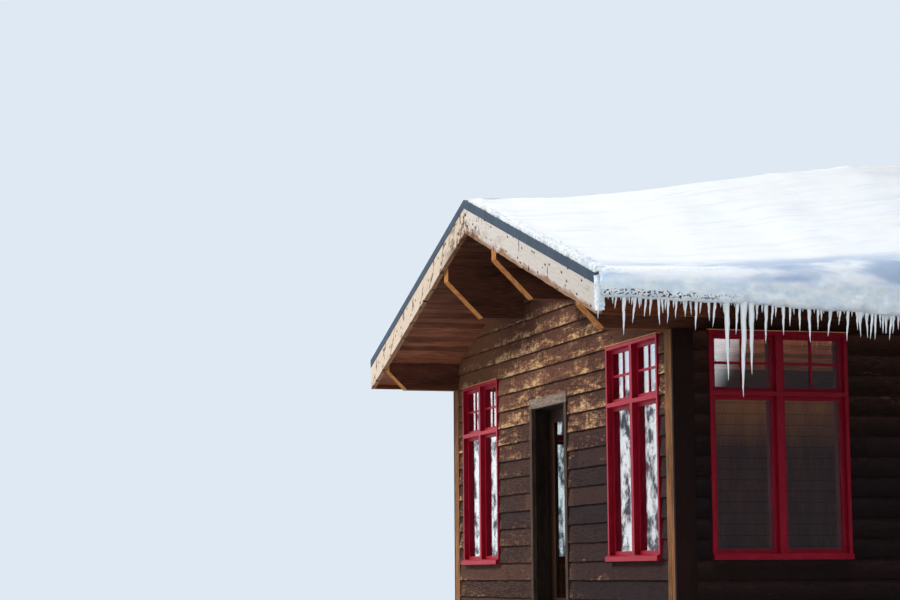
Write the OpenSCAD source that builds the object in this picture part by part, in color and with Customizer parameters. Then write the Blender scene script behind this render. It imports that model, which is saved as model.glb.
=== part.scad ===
/* [Foundation and floor] */
// Height of the concrete plinth above the ground
plinth_h = 150; // [100:10:600]
// Thickness of the floor laid on the plinth
floor_t = 30; // [20:5:60]

/* [Walls] */
// Width across the gable, outside the wall framing
wall_w = 6200; // [5800:20:7000]
// Length along the ridge, outside the wall framing
wall_l = 8360; // [7400:20:10000]
// Thickness of the walls
wall_t = 180; // [140:10:220]
// Height of the wall plates and of the window heads above the ground
plate_z = 2610; // [2500:10:2900]
// Width of a corner board
corner_board_w = 146; // [90:2:180]
// Thickness of a corner board
corner_board_t = 32; // [20:1:45]
// How far the corner boards and casings reach down over the plinth
trim_lap = 30; // [10:5:60]

/* [Windows] */
// Width of a window over its frame
window_w = 1210; // [1000:10:1300]
// Height of the underside of the window frames above the ground
window_sill_z = 780; // [600:10:1200]
// Height of the underside of the transom above the ground
transom_z = 2088; // [1900:2:2200]
// Height of the transom bar
transom_h = 36; // [24:2:60]
// Width of the mullion between the two lights
mullion_w = 56; // [40:2:80]
// Face width of the frame's jambs and head
frame_face = 30; // [20:2:60]
// How far the frame stands out from the wall framing
frame_proud = 40; // [30:2:60]
// Height of the sill member at its front
sill_h = 40; // [30:2:60]
// Rise of the weathered sill from front to back
sill_slope = 12; // [6:1:20]
// How far the sill stands out from the frame
sill_nose = 28; // [10:2:50]
// Depth from the frame's front to the sashes
sash_recess = 45; // [20:1:80]
// Thickness of a sash
sash_t = 40; // [30:2:60]
// Width of a sash's stiles and rails
sash_face = 33; // [25:1:60]
// Thickness of the glass units
glass_t = 16; // [6:2:24]
// How far the glass reaches into the sash's groove
glass_lap = 8; // [4:1:12]
// Distance from the left corner to the front window left of the door
front_left_window_edge = 330; // [200:5:500]
// Distance from the right corner to the front window right of the door
front_right_window_edge = 295; // [200:5:500]
// Distance from the corners to the two back windows
back_window_edge = 320; // [200:10:900]
// Number of windows in the right wall
right_window_count = 3; // [1:1:4]
// Number of windows in the left wall
left_window_count = 2; // [1:1:4]
// Distance from a building corner to the first side window's frame
side_window_edge = 280; // [200:10:700]

/* [Door] */
// Clear width between the door jambs
door_w = 930; // [800:10:1100]
// Clear height from the floor to the head jamb
door_h = 2050; // [1950:10:2100]
// Thickness of the jambs
jamb_t = 30; // [20:2:45]
// Thickness of the door stops on the jambs
stop_t = 12; // [8:1:20]
// Depth of the door stops
stop_d = 35; // [20:1:60]
// Width of the casings beside the door
casing_w = 65; // [40:5:120]
// Height of the casing over the door
head_casing_h = 90; // [60:5:140]
// Thickness of the door casings
casing_t = 38; // [25:1:50]
// Height of the threshold above the floor
threshold_h = 15; // [5:1:30]
// Gap around the door leaf
door_gap = 5; // [5:0.5:8]
// Thickness of the door leaf
leaf_t = 45; // [40:1:60]
// Width of the leaf's stiles
leaf_stile = 150; // [100:5:200]
// Height of the leaf's top rail
leaf_top_rail = 130; // [100:5:200]
// Height of the leaf's bottom rail
leaf_bottom_rail = 260; // [180:10:400]
// Height of the handle above the floor
handle_z = 1000; // [900:10:1100]
// Length of a hinge
hinge_h = 100; // [80:5:140]
// Radius of a hinge knuckle
knuckle_r = 8; // [7:0.5:8]
// Radius of a hinge pin
pin_r = 4; // [3:0.5:5]

/* [Roof] */
// Pitch of the roof in degrees
pitch = 18; // [14:1:24]
// How far the roof's end board stands out from the side walls
eave_overhang = 470; // [300:10:700]
// How far the barge boards' faces stand out from the gable walls
gable_overhang = 825; // [500:5:1100]
// Height of the eave purlins at their outer face
eave_purlin_h = 234; // [230:2:340]
// Width of the purlins
purlin_w = 140; // [100:5:180]
// Slanting cut at the eave purlins' tails
eave_tail_cut = 188; // [100:2:200]
// Distance from the ridge line to the middle of each mid purlin
mid_purlin_x = 773; // [500:5:1400]
// Height of the mid purlins at their outer face
mid_purlin_h = 460; // [420:10:520]
// Slanting cut at the mid purlins' tails
mid_tail_cut = 345; // [200:5:380]
// Thickness of the soffit boards
soffit_t = 20; // [15:1:30]
// Thickness of the roof deck with its rafters
deck_t = 220; // [160:5:300]
// Thickness of the barge boards
barge_t = 45; // [32:1:60]
// Clearance between the roof's sloping layers
layer_gap = 0.1; // [0.05:0.05:1]
// How far the barge boards and fascias hang below the soffit
barge_drop = 30; // [15:1:60]
// Thickness of the fascias
fascia_t = 38; // [25:1:50]

/* [Roofing] */
// Thickness of the metal roofing with its underlay
pan_t = 8; // [4:1:12]
// How far the roofing drips past the fascias
pan_drip = 20; // [10:2:40]
// Height of the standing seams
seam_h = 25; // [20:1:40]
// Width of the standing seams
seam_w = 14; // [10:1:24]
// Largest distance between two seams
seam_pitch = 430; // [300:10:600]
// Thickness of the folded flashings
flashing_t = 4; // [2:0.5:6]
// Height of the verge flashing's face
verge_face = 79; // [50:1:110]
// How far the verge flashing stands above the roofing
verge_rise = 18; // [12:1:30]
// Width of the verge flashing over the roofing
verge_w = 90; // [60:5:140]
// Width of each wing of the ridge cap
ridge_cap_w = 160; // [120:5:240]
// Height of the drip edge on the fascia
drip_face = 55; // [30:1:80]
// How far the drip edge's lower lip kicks out
drip_lip = 12; // [6:1:20]

/* [Snow on the right slope] */
// Depth of the snow at the front verge
snow_verge = 45; // [30:5:120]
// Depth of the drift along the ridge, behind the front verge
snow_ridge = 600; // [150:10:700]
// Depth of the snow over the eave, behind the front verge
snow_eave = 300; // [100:10:400]
// Distance from the front verge to where the drift has its full depth
snow_reach = 4800; // [2000:100:6000]
// How far the snow hangs down over the eave at the front verge
snow_hang = 150; // [80:10:250]
// How far it hangs down over the eave where the drift has its full depth
snow_drift_hang = 310; // [80:10:400]
// How far the snow stands out from the roofing at the eave
snow_lip = 70; // [40:5:120]
// How far the snow reaches over the ridge
snow_over = 100; // [40:10:110]
// Length of the drift's sloping end at the back verge
snow_end_l = 350; // [200:10:600]

/* [Hidden] */
$fn = 32;

// Finishes
concrete = "#8c8a86";
floor_wood = "#8a6a48";
siding_brown = "#4d3526";
trim_wood = "#8d6138";
stain_brown = "#3a241a";
soffit_brown = "#5e3524";
weathered_white = "#cdbfae";
slate_metal = "#4b5663";
barn_red = "#a01a30";
pane_grey = "#9fb0bd";
door_brown = "#33211a";
grey_wood = "#6c5b50";
black_iron = "#222224";
snow_white = "#f4f7fb";

// Heights and lines that several pieces share
floor_z = plinth_h + floor_t;
half_w = wall_w / 2;
half_l = wall_l / 2;
inner_x = half_w - wall_t;
inner_y = half_l - wall_t;
roof_y = half_l + gable_overhang;
barge_back_y = roof_y - barge_t;
eave_x = half_w + eave_overhang;
fascia_back_x = eave_x - fascia_t;
ridge_soffit_z = plate_z + eave_purlin_h + half_w * tan(pitch);

// Lifts of the roof's layers above the soffit, measured straight up
deck_low = soffit_t / cos(pitch);
deck_top = deck_low + deck_t / cos(pitch);
pan_low = deck_top + layer_gap;
pan_top = pan_low + pan_t / cos(pitch);
seam_top = pan_top + seam_h / cos(pitch);
verge_top = pan_top + verge_rise;
fold_low = pan_top + layer_gap;
cap_low = seam_top + layer_gap;
fold = flashing_t / cos(pitch);

// Lines of the snow on the right slope
snow_end_y = roof_y + flashing_t;
snow_edge_x = eave_x + pan_drip + layer_gap;
snow_crest_x = 250;
snow_lip_x = snow_edge_x - 180;
snow_slice_t = 1;
snow_end_share = 0.4;
snow_curtain_share = 0.8;
snow_curtain_steps = 16;
snow_stations = [
    for (share = [0:0.2:1]) share * snow_reach - snow_end_y,
    snow_end_y - snow_end_l - snow_slice_t, snow_end_y - snow_slice_t
];

// Window lights
light_w = (window_w - 2 * frame_face - mullion_w) / 2;
light_x = (mullion_w + light_w) / 2;
upper_light = [transom_z + transom_h, plate_z - frame_face];
lower_light = [window_sill_z + sill_h + sill_slope, transom_z];
lights = [upper_light, lower_light];
side_window_reach = half_l - side_window_edge - window_w / 2;
front_left_window_x = -half_w + front_left_window_edge + window_w / 2;
front_right_window_x = half_w - front_right_window_edge - window_w / 2;
back_window_x = half_w - back_window_edge - window_w / 2;

// Door
door_top = floor_z + door_h;
rough_w = door_w + 2 * jamb_t;
rough_top = door_top + jamb_t;
leaf_bottom = floor_z + threshold_h + door_gap;
leaf_top = door_top - door_gap;
leaf_half = door_w / 2 - door_gap;
hinge_x = -(door_w + door_gap) / 2;
hinge_y = -inner_y + knuckle_r;
hinge_levels = [leaf_bottom + 200, (leaf_bottom + leaf_top) / 2, leaf_top - 200];
hinge_play = 0.2;
plate_t = 3;
plate_reach = 50;
spindle = 9;
spindle_play = 0.5;
lever_r = 10;
lever_l = 120;
lever_out = 50;
rose_r = 26;
rose_t = 8;

// Height of the soffit's underside at a distance x from the ridge line
function soffit(x) = ridge_soffit_z - abs(x) * tan(pitch);

// Centres of so many windows in a side wall, along the wall
function side_windows(count) = count == 1 ? [0]
    : [for (i = [0:count - 1]) -side_window_reach + i * 2 * side_window_reach / (count - 1)];

// A flat shape drawn in x and z, thick from y0 to y1
module along_y(y0, y1) {
    translate([0, y1, 0]) rotate([90, 0, 0]) linear_extrude(y1 - y0) children();
}

// A flat shape drawn in y and z, thick from x0 to x1
module along_x(x0, x1) {
    translate([x0, 0, 0]) rotate([90, 0, 90]) linear_extrude(x1 - x0) children();
}

// A layer of the right roof slope between two lifts above the soffit
module roof_band(x0, x1, low, high, y0, y1) {
    along_y(y0, y1) polygon([
        [x0, soffit(x0) + low], [x1, soffit(x1) + low],
        [x1, soffit(x1) + high], [x0, soffit(x0) + high]
    ]);
}

module on_left() {
    mirror([1, 0, 0]) children();
}

module on_both_sides() {
    children();
    mirror([1, 0, 0]) children();
}

module at_both_ends() {
    children();
    mirror([0, 1, 0]) children();
}

// Places what is drawn against a wall whose outer face is y = 0, facing -y
module on_front(u) {
    translate([u, -half_l, 0]) children();
}

module on_back(u) {
    rotate(180) translate([u, -half_l, 0]) children();
}

module on_right(u) {
    rotate(90) translate([u, -half_w, 0]) children();
}

module on_left_wall(u) {
    rotate(-90) translate([u, -half_w, 0]) children();
}

// A wall panel from u0 to u1 with a notch for each window, open at the plate
module wall_panel(u0, u1, windows) {
    difference() {
        translate([u0, 0, plinth_h]) cube([u1 - u0, wall_t, plate_z - plinth_h]);
        for (u = windows)
            translate([u - window_w / 2, -1, window_sill_z])
                cube([window_w, wall_t + 2, plate_z - window_sill_z + 1]);
    }
}

// The triangle over the plate, notched for the mid purlins
module gable_panel() {
    edge = half_w - purlin_w;
    along_y(0, wall_t) difference() {
        polygon([
            [-edge, plate_z], [edge, plate_z], [edge, soffit(edge) - layer_gap],
            [0, soffit(0) - layer_gap], [-edge, soffit(edge) - layer_gap]
        ]);
        for (s = [-1, 1])
            translate([s * mid_purlin_x - purlin_w / 2, mid_purlin_z()])
                square([purlin_w, ridge_soffit_z]);
    }
}

function mid_purlin_z() = soffit(mid_purlin_x + purlin_w / 2) - mid_purlin_h;

// A purlin whose top is bevelled to the soffit and whose tails are cut on the slant
module purlin(x0, x1, bottom, cut) {
    intersection() {
        along_x(x0, x1) polygon([
            [-barge_back_y, bottom + cut], [-barge_back_y + cut, bottom],
            [barge_back_y - cut, bottom], [barge_back_y, bottom + cut],
            [barge_back_y, ridge_soffit_z], [-barge_back_y, ridge_soffit_z]
        ]);
        along_y(-barge_back_y, barge_back_y) polygon([
            [x0, bottom], [x1, bottom],
            [x1, soffit(x1) - layer_gap], [x0, soffit(x0) - layer_gap]
        ]);
    }
}

// Box frame of a window with its mullion, transom and weathered sill
module window_frame() {
    sill_top = window_sill_z + sill_h + sill_slope;
    difference() {
        translate([-window_w / 2, -frame_proud, window_sill_z])
            cube([window_w, frame_proud + wall_t, plate_z - window_sill_z]);
        for (s = [-1, 1], z = lights)
            translate([s * light_x - light_w / 2, -frame_proud - 1, z[0]])
                cube([light_w, frame_proud + wall_t + 2, z[1] - z[0]]);
    }
    along_x(-window_w / 2, window_w / 2) polygon([
        [-frame_proud - sill_nose, window_sill_z], [-frame_proud, window_sill_z],
        [-frame_proud, sill_top], [-frame_proud - sill_nose, window_sill_z + sill_h]
    ]);
}

// Places one of a window's four lights
module in_each_light() {
    for (s = [-1, 1], z = lights)
        translate([s * light_x, sash_recess - frame_proud, 0]) {
            $light = z;
            children();
        }
}

// The pane of a light, with its edges in the sash's groove
module pane() {
    w = light_w - 2 * (sash_face - glass_lap);
    edge = sash_face - glass_lap;
    translate([-w / 2, (sash_t - glass_t) / 2, $light[0] + edge])
        cube([w, glass_t, $light[1] - $light[0] - 2 * edge]);
}

module sash() {
    difference() {
        translate([-light_w / 2, 0, $light[0]])
            cube([light_w, sash_t, $light[1] - $light[0]]);
        translate([-light_w / 2 + sash_face, -1, $light[0] + sash_face])
            cube([light_w - 2 * sash_face, sash_t + 2, $light[1] - $light[0] - 2 * sash_face]);
        pane();
    }
}

module window_sashes() {
    in_each_light() sash();
}

module window_panes() {
    in_each_light() pane();
}

// Plinth and floor

module foundation() {
    color(concrete) translate([-half_w, -half_l, 0]) cube([wall_w, wall_l, plinth_h]);
}

module floor() {
    color(floor_wood) translate([-inner_x, -inner_y, plinth_h])
        cube([2 * inner_x, 2 * inner_y, floor_t]);
}

// Walls

module front_wall_left() {
    color(siding_brown) on_front(0) wall_panel(-half_w, -rough_w / 2, [front_left_window_x]);
}

module front_wall_right() {
    color(siding_brown) on_front(0) wall_panel(rough_w / 2, half_w, [front_right_window_x]);
}

module front_wall_over_door() {
    color(siding_brown) on_front(0) translate([-rough_w / 2, 0, rough_top])
        cube([rough_w, wall_t, plate_z - rough_top]);
}

module front_gable() {
    color(siding_brown) on_front(0) gable_panel();
}

module back_wall() {
    color(siding_brown) on_back(0) wall_panel(-half_w, half_w, [-back_window_x, back_window_x]);
}

module back_gable() {
    color(siding_brown) on_back(0) gable_panel();
}

module left_wall() {
    color(siding_brown) on_left_wall(0)
        wall_panel(-inner_y, inner_y, side_windows(left_window_count));
}

module right_wall() {
    color(siding_brown) on_right(0)
        wall_panel(-inner_y, inner_y, side_windows(right_window_count));
}

// Corner boards: the side ones lap the edges of those on the gable walls

module corner_board(x, y, dx, dy) {
    z = plinth_h - trim_lap;
    translate([x, y, z]) cube([dx, dy, plate_z - z]);
}

module gable_corner_boards() {
    color(trim_wood) on_both_sides() at_both_ends()
        corner_board(half_w - corner_board_w, -half_l - corner_board_t,
            corner_board_w, corner_board_t);
}

module side_corner_boards() {
    color(stain_brown) on_both_sides() at_both_ends()
        corner_board(half_w, -half_l - corner_board_t,
            corner_board_t, corner_board_w + corner_board_t);
}

// Roof timbers and boards

module eave_purlins() {
    color(stain_brown) on_both_sides() purlin(half_w - purlin_w, half_w, plate_z, eave_tail_cut);
}

module mid_purlins() {
    color(stain_brown) on_both_sides()
        purlin(mid_purlin_x - purlin_w / 2, mid_purlin_x + purlin_w / 2, mid_purlin_z(),
            mid_tail_cut);
}

module soffit_boards() {
    color(soffit_brown) roof_band(0, fascia_back_x, 0, deck_low, -barge_back_y, barge_back_y);
}

module left_soffit_boards() {
    on_left() soffit_boards();
}

module right_soffit_boards() {
    soffit_boards();
}

module roof_deck() {
    color(trim_wood)
        roof_band(0, fascia_back_x, deck_low, deck_top, -barge_back_y, barge_back_y);
}

module left_roof_deck() {
    on_left() roof_deck();
}

module right_roof_deck() {
    roof_deck();
}

module barge_boards() {
    color(weathered_white) at_both_ends()
        roof_band(0, eave_x, -barge_drop, deck_top, -roof_y, -barge_back_y);
}

module left_barge_boards() {
    on_left() barge_boards();
}

module right_barge_boards() {
    barge_boards();
}

module eave_fascias() {
    bottom = soffit(eave_x) - barge_drop;
    color(stain_brown) on_both_sides() along_y(-barge_back_y, barge_back_y) polygon([
        [fascia_back_x, bottom], [eave_x, bottom],
        [eave_x, soffit(eave_x) + deck_top], [fascia_back_x, soffit(fascia_back_x) + deck_top]
    ]);
}

// Metal roofing

// The standing seams, with a clearance round them where they cut the snow
module roofing_seams(play) {
    first = -roof_y + verge_w + seam_w;
    gaps = ceil(-2 * first / seam_pitch);
    for (i = [0:gaps])
        let (y = first - 2 * first * i / gaps)
            roof_band(ridge_cap_w + seam_w - play, eave_x + pan_drip + play, pan_top - 1,
                seam_top + play, y - seam_w / 2 - play, y + seam_w / 2 + play);
}

module roofing() {
    color(slate_metal) {
        roof_band(0, eave_x + pan_drip, pan_low, pan_top, -roof_y, roof_y);
        roofing_seams(0);
    }
}

module left_roofing() {
    on_left() roofing();
}

module right_roofing() {
    roofing();
}

// The cap stands over the seams' ends on a folded leg at each edge
module ridge_cap() {
    reach = roof_y - verge_w - flashing_t;
    color(slate_metal) along_y(-reach, reach) polygon([
        [0, soffit(0) + cap_low + fold],
        [ridge_cap_w, soffit(ridge_cap_w) + cap_low + fold],
        [ridge_cap_w, soffit(ridge_cap_w) + fold_low],
        [ridge_cap_w - flashing_t, soffit(ridge_cap_w - flashing_t) + fold_low],
        [ridge_cap_w - flashing_t, soffit(ridge_cap_w - flashing_t) + cap_low],
        [0, soffit(0) + cap_low],
        [-ridge_cap_w + flashing_t, soffit(ridge_cap_w - flashing_t) + cap_low],
        [-ridge_cap_w + flashing_t, soffit(ridge_cap_w - flashing_t) + fold_low],
        [-ridge_cap_w, soffit(ridge_cap_w) + fold_low],
        [-ridge_cap_w, soffit(ridge_cap_w) + cap_low + fold]
    ]);
}

// A folded channel over the edge of the roofing and the top of the barge board
module verge_flashings() {
    color(slate_metal) at_both_ends() {
        roof_band(0, eave_x, verge_top - verge_face, verge_top,
            -roof_y - flashing_t, -roof_y);
        roof_band(0, eave_x, verge_top - fold, verge_top,
            -roof_y - flashing_t, -roof_y + verge_w);
        roof_band(0, eave_x, fold_low, verge_top,
            -roof_y + verge_w - flashing_t, -roof_y + verge_w);
    }
}

module left_verge_flashings() {
    on_left() verge_flashings();
}

module right_verge_flashings() {
    verge_flashings();
}

module eave_drip_edges() {
    top = soffit(eave_x + flashing_t) + pan_low - layer_gap;
    color(slate_metal) on_both_sides() along_y(-barge_back_y, barge_back_y) polygon([
        [eave_x, top], [eave_x, top - drip_face],
        [eave_x + drip_lip, top - drip_face - drip_lip],
        [eave_x + drip_lip, top - drip_face - drip_lip + 2 * flashing_t],
        [eave_x + flashing_t, top - drip_face + flashing_t], [eave_x + flashing_t, top]
    ]);
}

// Snow

function ease(t) = t <= 0 ? 0 : t >= 1 ? 1 : t * t * (3 - 2 * t);
function between(low, high, share) = low + (high - low) * share;

// Share of the drift's full depth at a place along the ridge
function drift_share(y) = ease((y + snow_end_y) / snow_reach);

// A slice across the slope, from the snow's foot over the ridge to its rounded lip at the eave
module snow_slice(y) {
    shrink = y < snow_end_y - snow_end_l ? 1 : snow_end_share;
    ridge = between(snow_verge, snow_ridge, drift_share(y)) * shrink;
    eave = between(snow_verge, snow_eave, drift_share(y)) * shrink;
    outline = [
        for (a = [0:22.5:90])
            [snow_crest_x - (snow_crest_x + snow_over) * cos(a), ridge * sin(a)],
        for (a = [0:22.5:90])
            [snow_lip_x + (snow_edge_x + snow_lip - snow_lip_x) * sin(a), eave * cos(a)]
    ];
    // Whole millimetres keep the flats between the slices flat
    along_y(y, y + snow_slice_t)
        polygon([for (p = outline) [round(p[0]), round(soffit(p[0]) + fold_low + p[1])]]);
}

// The icy curtain under the lip, with its lower edge sinking where the drift grows
module snow_curtain() {
    top = soffit(snow_edge_x) + fold_low;
    along_x(snow_edge_x, snow_edge_x + snow_lip * snow_curtain_share) polygon([
        [snow_end_y, top], [-snow_end_y, top],
        for (i = [0:snow_curtain_steps])
            let (y = between(-snow_end_y, snow_end_y, i / snow_curtain_steps))
                [y, top - between(snow_hang, snow_drift_hang, drift_share(y))]
    ]);
}

// What the snow lies on, with the clearance round it
module under_snow() {
    beside = -roof_y + verge_w + layer_gap;
    on_both_sides() {
        roof_band(0, snow_edge_x, 0, fold_low, -snow_end_y - 1, snow_end_y + 2);
        at_both_ends() roof_band(0, eave_x + layer_gap, 0, verge_top + layer_gap,
            -snow_end_y - 2, beside);
        roof_band(0, ridge_cap_w + layer_gap, 0, cap_low + fold + layer_gap, beside - 1, -beside + 1);
    }
    roofing_seams(layer_gap);
}

module roof_snow() {
    color(snow_white) difference() {
        union() {
            for (i = [1:len(snow_stations) - 1])
                hull() {
                    snow_slice(snow_stations[i - 1]);
                    snow_slice(snow_stations[i]);
                }
            snow_curtain();
        }
        under_snow();
    }
}

// Windows

module front_windows() {
    for (u = [front_left_window_x, front_right_window_x]) on_front(u) children();
}

module back_windows() {
    for (u = [-back_window_x, back_window_x]) on_back(u) children();
}

module left_windows() {
    for (u = side_windows(left_window_count)) on_left_wall(u) children();
}

module right_windows() {
    for (u = side_windows(right_window_count)) on_right(u) children();
}

module front_window_frames() {
    color(barn_red) front_windows() window_frame();
}

module front_window_sashes() {
    color(barn_red) front_windows() window_sashes();
}

module back_window_frames() {
    color(barn_red) back_windows() window_frame();
}

module back_window_sashes() {
    color(barn_red) back_windows() window_sashes();
}

module left_window_frames() {
    color(barn_red) left_windows() window_frame();
}

module left_window_sashes() {
    color(barn_red) left_windows() window_sashes();
}

module right_window_frames() {
    color(barn_red) right_windows() window_frame();
}

module right_window_sashes() {
    color(barn_red) right_windows() window_sashes();
}

module gable_window_glass() {
    color(pane_grey) {
        front_windows() window_panes();
        back_windows() window_panes();
    }
}

module side_window_glass() {
    color(pane_grey) {
        left_windows() window_panes();
        right_windows() window_panes();
    }
}

// Door frame

// Outer face of the closed leaf, and the face of the stops that it shuts towards
leaf_face_y = -inner_y - leaf_t;
stop_face_y = leaf_face_y - door_gap;

module door_jambs() {
    color(grey_wood) {
        on_both_sides() {
            translate([door_w / 2, -half_l, plinth_h]) cube([jamb_t, wall_t, door_top - plinth_h]);
            translate([door_w / 2 - stop_t, stop_face_y - stop_d, floor_z + threshold_h])
                cube([stop_t, stop_d, door_top - floor_z - threshold_h]);
        }
        translate([-rough_w / 2, -half_l, door_top]) cube([rough_w, wall_t, jamb_t]);
        translate([-door_w / 2, stop_face_y - stop_d, door_top - stop_t])
            cube([door_w, stop_d, stop_t]);
    }
}

module door_casings() {
    joint = 1;
    bottom = plinth_h - trim_lap;
    color(grey_wood) {
        on_both_sides() translate([door_w / 2, -half_l - casing_t, bottom])
            cube([casing_w, casing_t, door_top - joint - bottom]);
        translate([-door_w / 2 - casing_w, -half_l - casing_t, door_top])
            cube([door_w + 2 * casing_w, casing_t, head_casing_h]);
    }
}

module door_threshold() {
    color(grey_wood) translate([-door_w / 2, -half_l - casing_t, plinth_h])
        cube([door_w, casing_t + wall_t, floor_t + threshold_h]);
}

// Door leaf, hung on the left jamb to open inwards

leaf_light = [leaf_bottom + leaf_bottom_rail, leaf_top - leaf_top_rail];
leaf_light_half = leaf_half - leaf_stile;

module leaf_pane() {
    translate([
        -leaf_light_half - glass_lap, leaf_face_y + (leaf_t - glass_t) / 2,
        leaf_light[0] - glass_lap
    ])
        cube([
            2 * (leaf_light_half + glass_lap), glass_t,
            leaf_light[1] - leaf_light[0] + 2 * glass_lap
        ]);
}

handle_x = leaf_half - leaf_stile / 2;

module door_leaf() {
    hole = spindle + 2 * spindle_play;
    color(door_brown) difference() {
        translate([-leaf_half, leaf_face_y, leaf_bottom])
            cube([2 * leaf_half, leaf_t, leaf_top - leaf_bottom]);
        translate([-leaf_light_half, leaf_face_y - 1, leaf_light[0]])
            cube([2 * leaf_light_half, leaf_t + 2, leaf_light[1] - leaf_light[0]]);
        leaf_pane();
        translate([handle_x - hole / 2, leaf_face_y - 1, floor_z + handle_z - hole / 2])
            cube([hole, leaf_t + 2, hole]);
    }
}

module door_glass() {
    color(pane_grey) leaf_pane();
}

// A lever on its rose, standing out from the plane y = 0 towards -y
module lever() {
    rotate([90, 0, 0]) {
        cylinder(h = rose_t, r = rose_r);
        cylinder(h = lever_out, r = lever_r);
    }
    translate([lever_r, -lever_out, 0]) rotate([0, -90, 0])
        cylinder(h = lever_l, r = lever_r);
}

module door_handle() {
    color(black_iron) translate([handle_x, 0, floor_z + handle_z]) {
        translate([0, leaf_face_y, 0]) lever();
        translate([0, -inner_y, 0]) mirror([0, 1, 0]) lever();
        translate([-spindle / 2, leaf_face_y - 1, -spindle / 2]) cube([spindle, leaf_t + 2, spindle]);
    }
}

// Each hinge has the frame's knuckles at its ends and the leaf's between them, on one pin
module knuckle(z0, z1) {
    translate([hinge_x, hinge_y, z0]) cylinder(h = z1 - z0, r = knuckle_r);
}

module door_frame_hinges() {
    end = hinge_h / 4;
    color(black_iron) for (z = hinge_levels) difference() {
        union() {
            for (z0 = [z - hinge_h / 2, z + hinge_h / 2 - end]) {
                knuckle(z0, z0 + end);
                translate([hinge_x - plate_reach, -inner_y, z0]) cube([plate_reach, plate_t, end]);
            }
            translate([hinge_x - plate_reach, -inner_y, z - hinge_h / 2])
                cube([plate_reach - knuckle_r - hinge_play, plate_t, hinge_h]);
        }
        translate([hinge_x, hinge_y, z - hinge_h])
            cylinder(h = 2 * hinge_h, r = pin_r + hinge_play);
    }
}

module door_leaf_hinges() {
    middle = hinge_h / 2 - 2;
    color(black_iron) for (z = hinge_levels) {
        knuckle(z - middle / 2, z + middle / 2);
        translate([hinge_x, -inner_y, z - middle / 2]) cube([plate_reach, plate_t, middle]);
        translate([hinge_x + knuckle_r + hinge_play, -inner_y, z - hinge_h / 2])
            cube([plate_reach - knuckle_r - hinge_play, plate_t, hinge_h]);
        translate([hinge_x, hinge_y, z - hinge_h / 2 - plate_t])
            cylinder(h = hinge_h + 2 * plate_t, r = pin_r);
    }
}

foundation();
floor();
front_wall_left();
front_wall_right();
front_wall_over_door();
front_gable();
back_wall();
back_gable();
left_wall();
right_wall();
gable_corner_boards();
side_corner_boards();
eave_purlins();
mid_purlins();
left_soffit_boards();
right_soffit_boards();
left_roof_deck();
right_roof_deck();
left_barge_boards();
right_barge_boards();
eave_fascias();
left_roofing();
right_roofing();
ridge_cap();
left_verge_flashings();
right_verge_flashings();
eave_drip_edges();
roof_snow();
front_window_frames();
front_window_sashes();
back_window_frames();
back_window_sashes();
left_window_frames();
left_window_sashes();
right_window_frames();
right_window_sashes();
gable_window_glass();
side_window_glass();
door_jambs();
door_casings();
door_threshold();
door_frame_hinges();
door_leaf();
door_glass();
door_handle();
door_leaf_hinges();
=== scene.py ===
"""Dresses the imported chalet: siding, boards, glazing bars, finishes, roof snow and a studio."""

import math
import random

import bpy
from mathutils import Matrix, Vector


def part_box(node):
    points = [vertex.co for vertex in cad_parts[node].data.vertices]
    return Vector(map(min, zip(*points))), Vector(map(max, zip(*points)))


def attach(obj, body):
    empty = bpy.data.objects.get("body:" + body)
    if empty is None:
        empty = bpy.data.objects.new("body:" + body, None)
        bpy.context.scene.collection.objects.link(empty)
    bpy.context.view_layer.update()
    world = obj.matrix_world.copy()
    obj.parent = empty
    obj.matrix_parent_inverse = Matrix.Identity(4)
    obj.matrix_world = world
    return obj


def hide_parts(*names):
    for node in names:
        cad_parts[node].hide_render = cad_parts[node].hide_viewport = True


bl_info = {
    "name": "Alpine chalet",
    "version": (1, 0, 0),
    "blender": (4, 5, 0),
    "location": "View3D > Sidebar > Chalet",
    "description": "Siding, boards, windows, finishes and roof snow for a small timber chalet",
    "category": "Object",
}

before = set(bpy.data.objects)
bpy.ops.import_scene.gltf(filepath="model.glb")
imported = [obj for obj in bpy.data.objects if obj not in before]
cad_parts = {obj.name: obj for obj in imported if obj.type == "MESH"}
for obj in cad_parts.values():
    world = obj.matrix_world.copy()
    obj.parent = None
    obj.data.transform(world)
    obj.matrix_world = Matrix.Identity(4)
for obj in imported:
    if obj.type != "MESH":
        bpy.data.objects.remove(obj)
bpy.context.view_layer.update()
HOUSE = "chalet"
MM = 0.001


def node_box(name):
    """Lowest and highest corners of a part's node, as vectors."""
    low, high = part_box(name)
    return Vector(low), Vector(high)


# Lines of the building, read from its parts
HALF_W, HALF_L, PLINTH_Z = node_box("foundation")[1]
SIDING_START = PLINTH_Z - 0.02
PLATE_Z = node_box("eave_purlins")[0].z
BARGE_LOW, (EAVE_X, BARGE_Y, BARGE_TOP_Z) = node_box("right_barge_boards")
SOFFIT_EDGE_X, BARGE_BACK_Y = node_box("right_soffit_boards")[1].xy
SOFFIT_LOW_Z = node_box("right_soffit_boards")[0].z
MID_PURLIN_X = node_box("mid_purlins")[1].x
MID_PURLIN_Z = node_box("mid_purlins")[0].z
DOOR_LOW, DOOR_HIGH = node_box("door_casings")
ROOF_LOW, ROOF_HIGH = node_box("right_roofing")
PITCH = math.radians(18)
SLOPE = math.tan(PITCH)
RIDGE_SOFFIT_Z = SOFFIT_LOW_Z + SOFFIT_EDGE_X * SLOPE


def soffit_z(x):
    return RIDGE_SOFFIT_Z - abs(x) * SLOPE


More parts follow.
